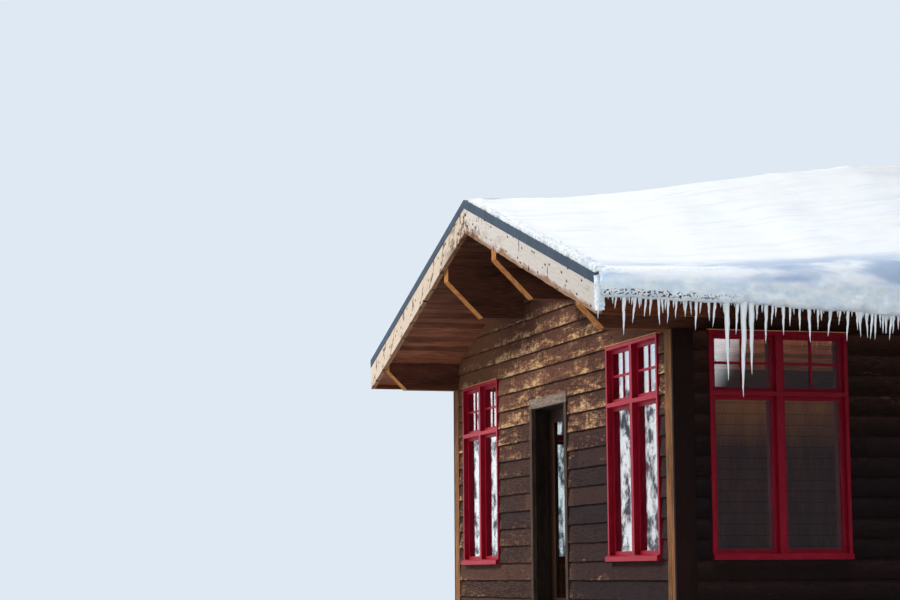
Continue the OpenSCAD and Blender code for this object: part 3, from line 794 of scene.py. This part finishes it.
# What turns a wall that faces -Y into each wall, how far out it stands, and its half length
WALLS = {
    "front": {"turn": 0, "out": HALF_L, "half": HALF_W, "node": "front_window_frames", "gable": True},
    "back": {"turn": 180, "out": HALF_L, "half": HALF_W, "node": "back_window_frames", "gable": True},
    "right": {"turn": 90, "out": HALF_W, "half": HALF_L, "node": "right_window_frames", "gable": False},
    "left": {"turn": -90, "out": HALF_W, "half": HALF_L, "node": "left_window_frames", "gable": False},
}


def window_centres(wall, width):
    """Centres of a wall's windows along it, seen from outside, left to right."""
    low, high = node_box(WALLS[wall]["node"])
    if WALLS[wall]["gable"]:
        places = [low.x + width / 2, high.x - width / 2]
    else:
        places = [low.y + width / 2, high.y - width / 2]
    if wall == "right":
        places.insert(1, sum(places) / 2)
    if wall in ("back", "left"):
        places = sorted(-p for p in places)
    return places


def outer_face(wall, node):
    """How far a node on a wall stands out from the building's middle."""
    low, high = node_box(node)
    return {"front": -low.y, "back": high.y, "right": high.x, "left": -low.x}[wall]


def siding_master(sizes, half, out, bottom):
    """One long lapped board, thick at its foot, with a lower edge still to be worn ragged."""
    top = bottom + sizes.exposure + LAP
    board = add_block("siding_board", (-half, -out - sizes.butt, bottom), (half, -out, top))

    def edge(upper, front):
        return lambda point: (point.co.z > top - 0.01) == upper and (point.co.y < -out - 0.01) == front

    shift(board, "VERT", edge(True, True), (0, sizes.butt - sizes.tip, 0))
    shift(board, "VERT", edge(False, False), (0, -sizes.tip - FIT, 0))
    wave_step = 0.05
    cut_along(board, 0, int(2 * half / wave_step))
    mark_lower_edge(board, bottom + FIT)
    return board


class CHALET_OT_siding(bpy.types.Operator):
    """Lap siding on the four walls, fitted round windows, door, purlins and gable slopes"""

    bl_idname = "chalet.siding"
    bl_label = "Lap siding"

    def execute(self, context):
        sizes = context.scene.chalet_sizes
        chance = random.Random(4)
        wander = clouds("edge wander", 0.11, 2)
        shortest = 0.3  # half the length of the last board worth having under a ridge
        near_slope, near_plate = 0.2, 0.18  # a course this close below them is cut
        for wall, facts in WALLS.items():
            out, half = facts["out"], facts["half"] - sizes.corner_board - FIT
            top = RIDGE_SOFFIT_Z if facts["gable"] else PLATE_Z
            master = siding_master(sizes, half, out, SIDING_START)
            fixed = self.cutters(sizes, wall, out)
            boards = []
            for course in range(math.ceil((top - SIDING_START) / sizes.exposure)):
                low = SIDING_START + course * sizes.exposure
                if facts["gable"] and RIDGE_SOFFIT_Z - low < shortest * SLOPE:
                    continue
                board = copy_of(master, "siding_course", (0, 0, low - SIDING_START))
                roughen(board, wander, "Z", sizes.edge_wave, 0.55, "lower edge")
                roughen(board, wander, "Y", 0.010, 0.5, "lower edge")
                if facts["gable"] and low + near_slope > soffit_z(half):
                    for side in (-1, 1):
                        bisect(board, (0, 0, RIDGE_SOFFIT_Z - FIT), (side * SLOPE, 0, 1))
                elif not facts["gable"] and low + near_plate > top:
                    bisect(board, (0, 0, top - FIT), (0, 0, 1))
                joints = [u for u in self.joints(chance, half) if self.clear(fixed, u, low, sizes.exposure)]
                slits = [
                    add_block("slit", (u - sizes.joint / 2, -out - THROUGH, low - 0.03),
                              (u + sizes.joint / 2, -out + THROUGH, low + 0.3))
                    for u in joints
                ]
                cutter = join("cutter", [copy_of(fixed, "fixed")] + slits)
                apply_modifier(board, "BOOLEAN", operation="DIFFERENCE", object=cutter, solver="EXACT")
                remove(cutter)
                self.tones(chance, board, joints)
                boards.append(board)
            remove(master)
            remove(fixed)
            piece = join(wall + "_siding", boards)
            piece.vertex_groups.clear()
            turn(piece, facts["turn"])
            finish_piece(piece, FINISHES["siding"])
        return {"FINISHED"}

    def joints(self, chance, half):
        """Where the lengths of a course meet: one place near its middle, or one on each side."""
        if chance.random() < 0.35:
            return [chance.uniform(-half * 0.8, half * 0.8)]
        return [chance.uniform(-half * 0.85, -half * 0.15), chance.uniform(half * 0.15, half * 0.85)]

    def clear(self, fixed, u, low, exposure):
        """Whether a joint at u would miss every window, door and purlin that the course meets."""
        corners = 8  # of each block
        margin_x, margin_z = 0.03, 0.04
        points = [p.co for p in fixed.data.vertices]
        for first in range(0, len(points), corners):
            xs, _, zs = zip(*points[first : first + corners])
            meets = min(zs) < low + exposure + margin_z and max(zs) > low - margin_z
            if meets and min(xs) - margin_x < u < max(xs) + margin_x:
                return False
        return True

    def tones(self, chance, board, joints):
        """Gives each length of board its own shade and pattern."""
        tone = board.data.attributes.new("tone", "FLOAT", "FACE")
        shades = [chance.random() for _ in range(len(joints) + 1)]
        for face in board.data.polygons:
            tone.data[face.index].value = shades[sum(face.center.x > u for u in joints)]

    def cutters(self, sizes, wall, out):
        """Blocks that stand where windows, the door's casings and purlins come through a wall."""
        low, high = node_box(WALLS[wall]["node"])
        half = sizes.window / 2 + FIT
        holes = [
            ("window_cutter", u - half, u + half, low.z - FIT, high.z + FIT)
            for u in window_centres(wall, sizes.window)
        ]
        if wall == "front":
            holes.append(("door_cutter", DOOR_LOW.x - FIT, DOOR_HIGH.x + FIT, 0, DOOR_HIGH.z + FIT))
        if WALLS[wall]["gable"]:
            for side in (-1, 1):
                inner = MID_PURLIN_X - MID_PURLIN_W - FIT
                left, right = sorted((side * (MID_PURLIN_X + FIT), side * inner))
                holes.append(("purlin_cutter", left, right, MID_PURLIN_Z - FIT, RIDGE_SOFFIT_Z))
        return join("fixed_cutter", [
            add_block(name, (left, -out - THROUGH, bottom), (right, -out + THROUGH, top))
            for name, left, right, bottom, top in holes
        ])


class CHALET_OT_soffit(bpy.types.Operator):
    """Chamfered soffit boards along both slopes, in place of the plain ones"""

    bl_idname = "chalet.soffit"
    bl_label = "Soffit boards"

    def execute(self, context):
        sizes = context.scene.chalet_sizes
        chance = random.Random(7)
        count = math.ceil(SOFFIT_EDGE_X / math.cos(PITCH) / sizes.soffit_board)
        width = SOFFIT_EDGE_X / math.cos(PITCH) / count
        for side, name in ((1, "right"), (-1, "left")):
            size = (width - FIT, BARGE_BACK_Y, sizes.soffit_thick)
            board = add_block("soffit_board", (FIT, -BARGE_BACK_Y, 0), size)
            corners = board.data.vertices
            pick(board, "EDGE", lambda e: all(corners[i].co.z < 0.001 for i in e.vertices)
                 and abs(corners[e.vertices[0]].co.y - corners[e.vertices[1]].co.y) > 1)
            bpy.ops.mesh.bevel(offset=0.005, segments=1)
            leave_edit()
            apply_modifier(board, "ARRAY", count=count, use_relative_offset=False,
                           use_constant_offset=True, constant_offset_displace=(width, 0, 0))
            tone = board.data.attributes.new("tone", "FLOAT", "FACE")
            shades = [chance.random() for _ in range(count + 1)]
            for face in board.data.polygons:
                tone.data[face.index].value = shades[int(face.center.x / width)]
            lay_on_slope(board, RIDGE_SOFFIT_Z)
            if side < 0:
                mirror(board, (1, 0, 0))
            outward(board)
            piece = join(name + "_soffit", [board])
            finish_piece(piece, FINISHES["soffit"])
            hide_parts(name + "_soffit_boards")
        return {"FINISHED"}


class CHALET_OT_glazing_bars(bpy.types.Operator):
    """Glazing bars, on both sides of the glass, that divide each upper light into four panes"""

    bl_idname = "chalet.glazing_bars"
    bl_label = "Glazing bars"

    def execute(self, context):
        sizes = context.scene.chalet_sizes
        light = (sizes.window - 2 * sizes.frame_face - sizes.mullion) / 2
        offset = (light + sizes.mullion) / 2
        half, thick = light / 2 - sizes.sash_face, sizes.bar / 2
        set_back = 4 * MM  # from the sash's faces
        for wall, facts in WALLS.items():
            bottom = sizes.transom + sizes.transom_bar + sizes.sash_face
            top = node_box(facts["node"])[1].z - sizes.frame_face - sizes.sash_face
            middle = (bottom + top) / 2
            sash_out = outer_face(wall, facts["node"].replace("frames", "sashes"))
            glass_out = sash_out - (sizes.sash_depth - sizes.pane) / 2
            glass_in = glass_out - sizes.pane
            sash_in = sash_out - sizes.sash_depth
            bars = []
            for front, back in ((-sash_out + set_back, -glass_out), (-glass_in, -sash_in - set_back)):
                for centre in (-offset, offset):
                    bars.append(self.bar((centre - thick, front, bottom), (centre + thick, back, top)))
                    for side in (-1, 1):
                        left, right = sorted((centre + side * thick, centre + side * half))
                        bars.append(self.bar((left, front, middle - thick), (right, back, middle + thick)))
            master = join("window_bars", bars)
            copies = [copy_of(master, "bars", (u, 0, 0)) for u in window_centres(wall, sizes.window)]
            remove(master)
            piece = join(wall + "_glazing_bars", copies)
            turn(piece, facts["turn"])
            finish_piece(piece, FINISHES["red"])
        return {"FINISHED"}

    def bar(self, low, high):
        bar = add_block("bar", low, high)
        apply_modifier(bar, "BEVEL", width=0.0025, segments=1)
        return bar


class CHALET_OT_barge_boards(bpy.types.Operator):
    """Barge boards with a waney lower edge, in place of the plain ones"""

    bl_idname = "chalet.barge_boards"
    bl_label = "Barge boards"

    def execute(self, context):
        wane = clouds("wane", 0.32, 2)
        over = 0.4  # how far a board runs past both its mitres before they are cut
        run = EAVE_X / math.cos(PITCH) + over
        height = (BARGE_TOP_Z - BARGE_LOW.z - EAVE_X * SLOPE) * math.cos(PITCH)
        for side, name in ((1, "right"), (-1, "left")):
            boards = []
            for end in (-1, 1):
                board = add_block("barge_board", (-over, 0, -height), (run, BARGE_Y - BARGE_BACK_Y, 0))
                cut_along(board, 0, 90)
                cut_along(board, 2, 5)
                mark_lower_edge(board, -height + 0.01)
                # One board of each slope takes its wane from another place
                away = Vector((3, 1.7, 0)) if end * side > 0 else Vector()
                board.data.transform(Matrix.Translation(away))
                roughen(board, wane, "Z", 0.026, 0.5, "lower edge")
                board.data.transform(Matrix.Translation(-away))
                board.vertex_groups.clear()
                lay_on_slope(board, BARGE_TOP_Z)
                bisect(board, (0.0004, 0, 0), (-1, 0, 0))
                bisect(board, (EAVE_X, 0, 0), (1, 0, 0))
                apply_modifier(board, "BEVEL", width=0.004, segments=2, limit_method="ANGLE")
                board.data.transform(Matrix.Translation((0, -BARGE_Y, 0)))
                if end > 0:
                    mirror(board, (0, 1, 0))
                boards.append(board)
            piece = join(name + "_barges", boards)
            if side < 0:
                mirror(piece, (1, 0, 0))
            outward(piece)
            finish_piece(piece, FINISHES["barge"])
            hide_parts(name + "_barge_boards")
        return {"FINISHED"}


class CHALET_OT_head_caps(bpy.types.Operator):
    """Thin wooden drip caps over the window heads"""

    bl_idname = "chalet.head_caps"
    bl_label = "Head caps"

    def execute(self, context):
        sizes = context.scene.chalet_sizes
        half = sizes.window / 2 + 8 * MM
        set_back, depth, thick, fall = 16 * MM, 42 * MM, 12.5 * MM, 5 * MM
        caps = []
        for wall, facts in WALLS.items():
            foot = node_box(facts["node"])[1].z + 0.5 * MM
            front = outer_face(wall, facts["node"]) - set_back
            for u in window_centres(wall, sizes.window):
                cap = add_block("head_cap", (u - half, -front, foot), (u + half, depth - front, foot + thick))
                # The front edge is lower, so that it sheds water
                middle = depth / 2 - front
                shift(cap, "VERT", lambda p: p.co.z > foot + fall and p.co.y < middle, (0, 0, -fall))
                apply_modifier(cap, "BEVEL", width=0.002, segments=1)
                caps.append(turn(cap, facts["turn"]))
        piece = join("window_head_caps", caps)
        finish_piece(piece, FINISHES["cap"])
        return {"FINISHED"}


class CHALET_OT_snow(bpy.types.Operator):
    """Settled snow on the right-hand slope: its plain solid softened, swollen and roughened at its edges"""

    bl_idname = "chalet.snow"
    bl_label = "Roof snow"

    def execute(self, context):
        sizes = context.scene.chalet_sizes
        snow = copy_of(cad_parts["roof_snow"], "snow")
        low, high = node_box("roof_snow")
        pick(snow, "VERT", lambda point: True)
        bpy.ops.mesh.remove_doubles(threshold=0.0002)
        leave_edit()
        apply_modifier(snow, "REMESH", mode="VOXEL", voxel_size=sizes.snow_grain)
        deep = snow.vertex_groups.new(name="deep")
        edges = snow.vertex_groups.new(name="edges")
        for point in snow.data.vertices:
            lift = point.co.z - soffit_z(point.co.x) - ROOFING_LIFT
            deep.add([point.index], min(1, max(0, lift - 0.05) * 5), "REPLACE")
            inland = min(point.co.y - low.y, high.x - point.co.x)
            edges.add([point.index], min(1, max(0.10, 1.2 - inland * 5)), "REPLACE")
        apply_modifier(snow, "SMOOTH", factor=0.6, iterations=12, vertex_group="deep")
        roughen(snow, clouds("swell", 0.9, 3), "Z", 0.07, 0.5, "deep")
        roughen(snow, clouds("crust", 0.07, 2), "NORMAL", 0.034, 0.12, "edges")
        snow.vertex_groups.clear()
        # The verges draw back from the flashings, and the eave's lip swells
        for end in (low.y, high.y):
            shift(snow, "VERT", lambda p: abs(p.co.y - end) < 0.028, (0, -math.copysign(0.026, end), 0))
        lip_x, lip_z = ROOF_HIGH.x - 0.12, ROOF_LOW.z - 0.02
        shift(snow, "VERT", lambda p: p.co.x > lip_x and p.co.z > lip_z, (0.006, 0, 0.014))
        snow = join("settled_snow", [snow])
        smooth(snow, 60)
        feet = snow_feet()
        rim = snow.data.attributes.new("rim", "FLOAT", "POINT")
        for index, point in enumerate(snow.data.vertices):
            if point.co.x > ROOF_HIGH.x:
                rim.data[index].value = point.co.z - feet[round(point.co.y / SNOW_STEP)].z
        finish_piece(snow, FINISHES["snow"])
        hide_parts("roof_snow")
        return {"FINISHED"}


class CHALET_OT_crust(bpy.types.Operator):
    """Crumbling crust along the verges of the snow, and the ice that wraps the eave end of the barge board"""

    bl_idname = "chalet.crust"
    bl_label = "Snow crust"

    def execute(self, context):
        low, high = node_box("roof_snow")
        rough = clouds("verge crust", 0.030, 3)
        pieces = [self.verge_crust(low.y, rough), self.verge_crust(high.y, rough), self.end_ice(rough)]
        piece = join("snow_crust", pieces)
        smooth(piece, 60)
        finish_piece(piece, FINISHES["crust"])
        return {"FINISHED"}

    def end_ice(self, texture):
        """A ragged column of ice over the cut end of the front barge board."""
        ice = add_block(
            "end_ice", (EAVE_X - 0.02, -BARGE_Y - 0.006, BARGE_LOW.z + 0.03),
            (EAVE_X + 0.045, -BARGE_Y + 0.05, ROOF_LOW.z + 0.02),
        )
        for axis, cuts in ((2, 15), (1, 3), (0, 3)):
            cut_along(ice, axis, cuts)
        roughen(ice, texture, "NORMAL", 0.045, 0.42)
        return ice

    def verge_crust(self, y, texture):
        """The crumbling rim of the snow along a verge flashing, thin at the ridge and thick at the eave."""
        inner, outer = (y - math.copysign(inset, y) for inset in (0.10, 0.022))
        start, length = 0.10, EAVE_X / math.cos(PITCH) - 0.07
        crust = add_block("verge_crust", (start, min(outer, inner), 0), (length, max(outer, inner), 20 * MM))
        cut_along(crust, 0, 159)
        cut_along(crust, 1, 4)
        for share, rise in ((0.15, 0.008), (0.4, 0.012), (0.7, 0.014)):
            shift(crust, "VERT", lambda p: p.co.z > 0.01 and p.co.x > length * share, (0, 0, rise))
        roughen(crust, texture, "NORMAL", 0.046, 0.42)
        lay_on_slope(crust, RIDGE_SOFFIT_Z + ROOFING_LIFT + 0.014)
        return crust


def snow_feet():
    """Lowest points of the snow that hangs over the eave, by their place along the ridge in steps."""
    feet = {}
    for point in bpy.data.objects["settled_snow"].data.vertices:
        place = round(point.co.y / SNOW_STEP)
        if point.co.x > ROOF_HIGH.x and (place not in feet or point.co.z < feet[place].z):
            feet[place] = point.co.copy()
    return feet


class CHALET_OT_icicles(bpy.types.Operator):
    """Icicles along the right-hand eave, longest where the melt-water gathers"""

    bl_idname = "chalet.icicles"
    bl_label = "Icicles"

    # Distance behind the front gable's corner and length of the icicles that stand out, in metres
    long_ones = (
        (0.005, 0.19), (0.15, 0.09), (0.209, 0.29), (0.306, 0.20), (0.393, 0.14), (0.435, 0.13),
        (0.493, 0.20), (0.577, 0.18), (0.644, 0.14), (0.727, 0.13), (0.81, 0.22), (0.85, 0.10),
        (0.91, 0.14), (0.97, 0.20), (1.06, 0.60), (1.154, 0.24), (1.207, 0.73), (1.27, 0.55),
        (1.32, 0.12), (1.396, 0.30), (1.455, 0.16), (1.54, 0.22), (1.60, 0.14), (1.68, 0.18),
        (1.76, 0.26), (1.84, 0.16), (1.95, 0.20), (2.10, 0.24),
    )

    def execute(self, context):
        sizes = context.scene.chalet_sizes
        chance = random.Random(11)
        masters = [self.master(chance) for _ in range(3)]
        spots = [(-BARGE_Y + back, length) for back, length in self.long_ones]
        # Small ones stand between them, longer towards the back
        y, clear, front_end = -BARGE_Y + 0.05, 0.022, -2.9
        while y < BARGE_Y - 0.1:
            if all(abs(y - s[0]) > clear for s in spots[: len(self.long_ones)]):
                length = chance.choice((0.02, 0.03, 0.05, 0.06, 0.08, 0.11))
                spots.append((y, length * (1 if y < front_end else 1.8)))
            y += chance.uniform(0.016, 0.045)
        drops, feet = [], snow_feet()
        sunk, behind = 0.03, 0.004  # how an icicle's root sits in the snow's foot
        for y, length in spots:
            length = min(length, sizes.icicle)
            foot = feet[round(y / SNOW_STEP)]
            drop = copy_of(chance.choice(masters), "icicle")
            radius = 0.009 + 0.026 * length
            sway = 0.04 if length > 0.25 else 0.16
            lean = Matrix.Rotation(chance.uniform(-sway, 0.4 * sway), 4, "X") @ Matrix.Rotation(
                chance.uniform(-0.04, 0.02), 4, "Y")
            spin = Matrix.Rotation(chance.uniform(0, 6.28), 4, "Z")
            size = Matrix.Diagonal((radius, radius, length + sunk, 1))
            drop.data.transform(Matrix.Translation((foot.x - behind, y, foot.z + sunk)) @ lean @ size @ spin)
            drops.append(drop)
        for master in masters:
            remove(master)
        piece = join("eave_icicles", drops)
        smooth(piece, 60)
        finish_piece(piece, FINISHES["ice"])
        return {"FINISHED"}

    def master(self, chance):
        """An icicle one metre long and one metre in radius, ringed with the swellings of its growth."""
        deselect_all()
        bpy.ops.mesh.primitive_cone_add(vertices=8, radius1=0.05, radius2=1, depth=1, location=(0, 0, -0.5))
        drop = settle(bpy.context.object)
        pick(drop, "EDGE", lambda e: abs(
            drop.data.vertices[e.vertices[0]].co.z - drop.data.vertices[e.vertices[1]].co.z) > 0.5)
        bpy.ops.mesh.subdivide(number_cuts=9)
        leave_edit()
        for ring in range(10):
            level = -ring / 10
            root = 1.35
            taper = math.sqrt(1 - level * level) if ring else root
            swell = chance.uniform(0.85, 1.12) * taper / (1 + 0.95 * level) ** 0.6
            pick(drop, "VERT", lambda p: abs(p.co.z - level) < 0.02)
            bpy.ops.transform.resize(value=(swell, swell, 1), center_override=(0, 0, level))
            bpy.ops.transform.translate(value=(chance.uniform(-0.12, 0.12), chance.uniform(-0.12, 0.12), 0))
            leave_edit()
        return drop


class CHALET_OT_stage(bpy.types.Operator):
    """Pale floor, soft studio light and the camera"""

    bl_idname = "chalet.stage"
    bl_label = "Studio"

    def execute(self, context):
        context.scene.view_settings.view_transform = "Standard"
        self.add_floor()
        self.add_world(context)
        self.add_lamp("key", (-8, -18, 14), (0, -3, 2), 6, 3900, "#fffcf6")
        self.add_lamp("top", (9.5, -4, 17), (3, -1, 3), 5, 850, "#fdfdff")
        self.add_lamp("side", (12, -5, 17), (3.6, -2, 2.8), 6, 240, "#e8f1ff")
        self.add_lamp("back", (-12, 16, 9), (0, 2, 1.5), 8, 900, "#f2f6ff")
        glow = self.add_lamp("room", (0, -1, 2.0), (0, -1, 4), 2, 130, "#ffe2bd")
        glow.visible_camera = glow.visible_glossy = glow.visible_transmission = False
        glint = self.add_lamp("ice", (14, -10, 8), (3.6, -3, 2.8), 5, 570, "#f4f8ff")
        glint.light_linking.receiver_collection = bpy.data.collections.new(WHITE_PIECES)
        self.add_camera(context)
        return {"FINISHED"}

    def add_floor(self):
        """A disc whose rim melts into the backdrop, for the camera alone."""
        deselect_all()
        bpy.ops.mesh.primitive_circle_add(vertices=96, radius=17, fill_type="NGON")
        floor = bpy.context.object
        floor.name = "studio_floor"
        material, tree, spot = new_material("pale studio floor")
        dress(material, {"Base Color": rgba("#dfe3e8"), "Roughness": 0.9})
        radius = add(tree, "VectorMath", (spot,), "Value", operation="LENGTH")
        rim = where(tree, 1, (radius, 9, 16), add(tree, "LightPath", output="Is Camera Ray"))
        haze = add(tree, "Emission", (rgba(BACKDROP), 1.0))
        both = add(tree, "MixShader", (rim, tree.nodes["Principled BSDF"].outputs[0], haze))
        feed(tree.nodes["Material Output"], {"Surface": both})
        floor.data.materials.append(material)

    def add_world(self, context):
        """A pale backdrop for the camera, a bright side for glass to mirror, soft light for all else."""
        world = bpy.data.worlds.new("studio")
        context.scene.world = world
        world.use_nodes = True
        tree = world.node_tree
        feed(tree.nodes["Background"], {"Color": rgba("#eef3fa"), "Strength": 0.17})
        rays = add(tree, "LightPath").node.outputs
        aim = add(tree, "TexCoord", output="Generated")
        x, y, z = axes(tree, aim)
        # Glass mirrors a bright side over a mottled band, and a dusky side opposite
        mottle = pattern(tree, aim, 1000 / 230, (1, 1, 0.35), 6, 0.7)
        band = lay(tree, "#eef3f8", ("#434f59", 1, (mottle, 0.44, 0.58)))
        sides = lay(
            tree, "#33373d", ("#d6e5f4", 1, (x, 0.5, -0.5)), (band, 1, (z, 0.092, 0.078), (x, 0.0, -0.5))
        )
        # A white card hangs where one pane of the right-hand wall mirrors it
        across = add(tree, "Math", (x, 0.8), operation="GREATER_THAN")
        edge = total(tree, y, (-0.5, z))
        hung = where(tree, 1, (edge, 0.351, 0.336), (z, 0.076, 0.082), across, rays["Is Glossy Ray"])
        glassy = add(tree, "Math", (rays["Is Glossy Ray"], rays["Is Transmission Ray"]), operation="MAXIMUM")
        mirrored = add(tree, "MixShader", (
            hung, add(tree, "Background", (sides, 2.0)), add(tree, "Background", (rgba("#eef4fa"), 3.6))))
        lit = add(tree, "MixShader", (glassy, tree.nodes["Background"].outputs[0], mirrored))
        backdrop = add(tree, "Background", (rgba(BACKDROP), 1.0))
        both = add(tree, "MixShader", (rays["Is Camera Ray"], lit, backdrop))
        feed(tree.nodes["World Output"], {"Surface": both})

    def add_lamp(self, name, spot, target, size, watts, colour):
        deselect_all()
        aim = (Vector(target) - Vector(spot)).to_track_quat("-Z", "Y").to_euler()
        bpy.ops.object.light_add(type="AREA", location=spot, rotation=aim)
        lamp = bpy.context.object
        lamp.name = name + "_lamp"
        lamp.data.size = size
        lamp.data.energy = watts
        lamp.data.color = linear(colour)
        return lamp

    def add_camera(self, context):
        yaw, pitch, roll = math.radians(73.92), math.radians(6.98), math.radians(-0.426)
        ahead = Vector((-math.sin(yaw) * math.cos(pitch), math.cos(yaw) * math.cos(pitch), math.sin(pitch)))
        right = Vector((math.cos(yaw), math.sin(yaw), 0))
        up = right.cross(ahead)
        across = math.cos(roll) * right + math.sin(roll) * up
        over = -math.sin(roll) * right + math.cos(roll) * up
        turned = Matrix((across, over, -ahead)).transposed()
        deselect_all()
        bpy.ops.object.camera_add(location=(19.726, -10.832, 0.678), rotation=turned.to_euler())
        camera = bpy.context.object
        focal_pixels, picture_pixels, film_mm = 2245.6, 900, 36
        camera.data.sensor_width = film_mm
        camera.data.lens = focal_pixels / picture_pixels * film_mm
        context.scene.camera = camera


class VIEW3D_PT_chalet(bpy.types.Panel):
    """Lists the chalet's steps and settings"""

    bl_label = "Chalet"
    bl_idname = "VIEW3D_PT_chalet"
    bl_space_type = "VIEW_3D"
    bl_region_type = "UI"
    bl_category = "Chalet"

    def draw(self, context):
        for step in STEPS:
            self.layout.operator(step.bl_idname)
        for group in (context.scene.chalet_sizes, context.scene.chalet_colours):
            box = self.layout.box()
            for name in group.__annotations__:
                box.prop(group, name)


STEPS = (
    CHALET_OT_stage,
    CHALET_OT_finishes,
    CHALET_OT_siding,
    CHALET_OT_soffit,
    CHALET_OT_barge_boards,
    CHALET_OT_head_caps,
    CHALET_OT_glazing_bars,
    CHALET_OT_snow,
    CHALET_OT_crust,
    CHALET_OT_icicles,
)
CLASSES = (ChaletSizes, ChaletColours, *STEPS, VIEW3D_PT_chalet)


def register():
    for cls in CLASSES:
        bpy.utils.register_class(cls)
    bpy.types.Scene.chalet_sizes = bpy.props.PointerProperty(type=ChaletSizes)
    bpy.types.Scene.chalet_colours = bpy.props.PointerProperty(type=ChaletColours)


def unregister():
    del bpy.types.Scene.chalet_colours
    del bpy.types.Scene.chalet_sizes
    for cls in reversed(CLASSES):
        bpy.utils.unregister_class(cls)


def corners(box):
    return [[round(float(v), 5) for v in corner] for corner in box]


def main():
    register()
    bpy.ops.chalet.stage()
    bpy.ops.chalet.finishes()
    bpy.ops.chalet.siding()
    bpy.ops.chalet.soffit()
    bpy.ops.chalet.barge_boards()
    bpy.ops.chalet.head_caps()
    bpy.ops.chalet.glazing_bars()
    bpy.ops.chalet.snow()
    bpy.ops.chalet.crust()
    bpy.ops.chalet.icicles()


if __name__ == "__main__":
    main()
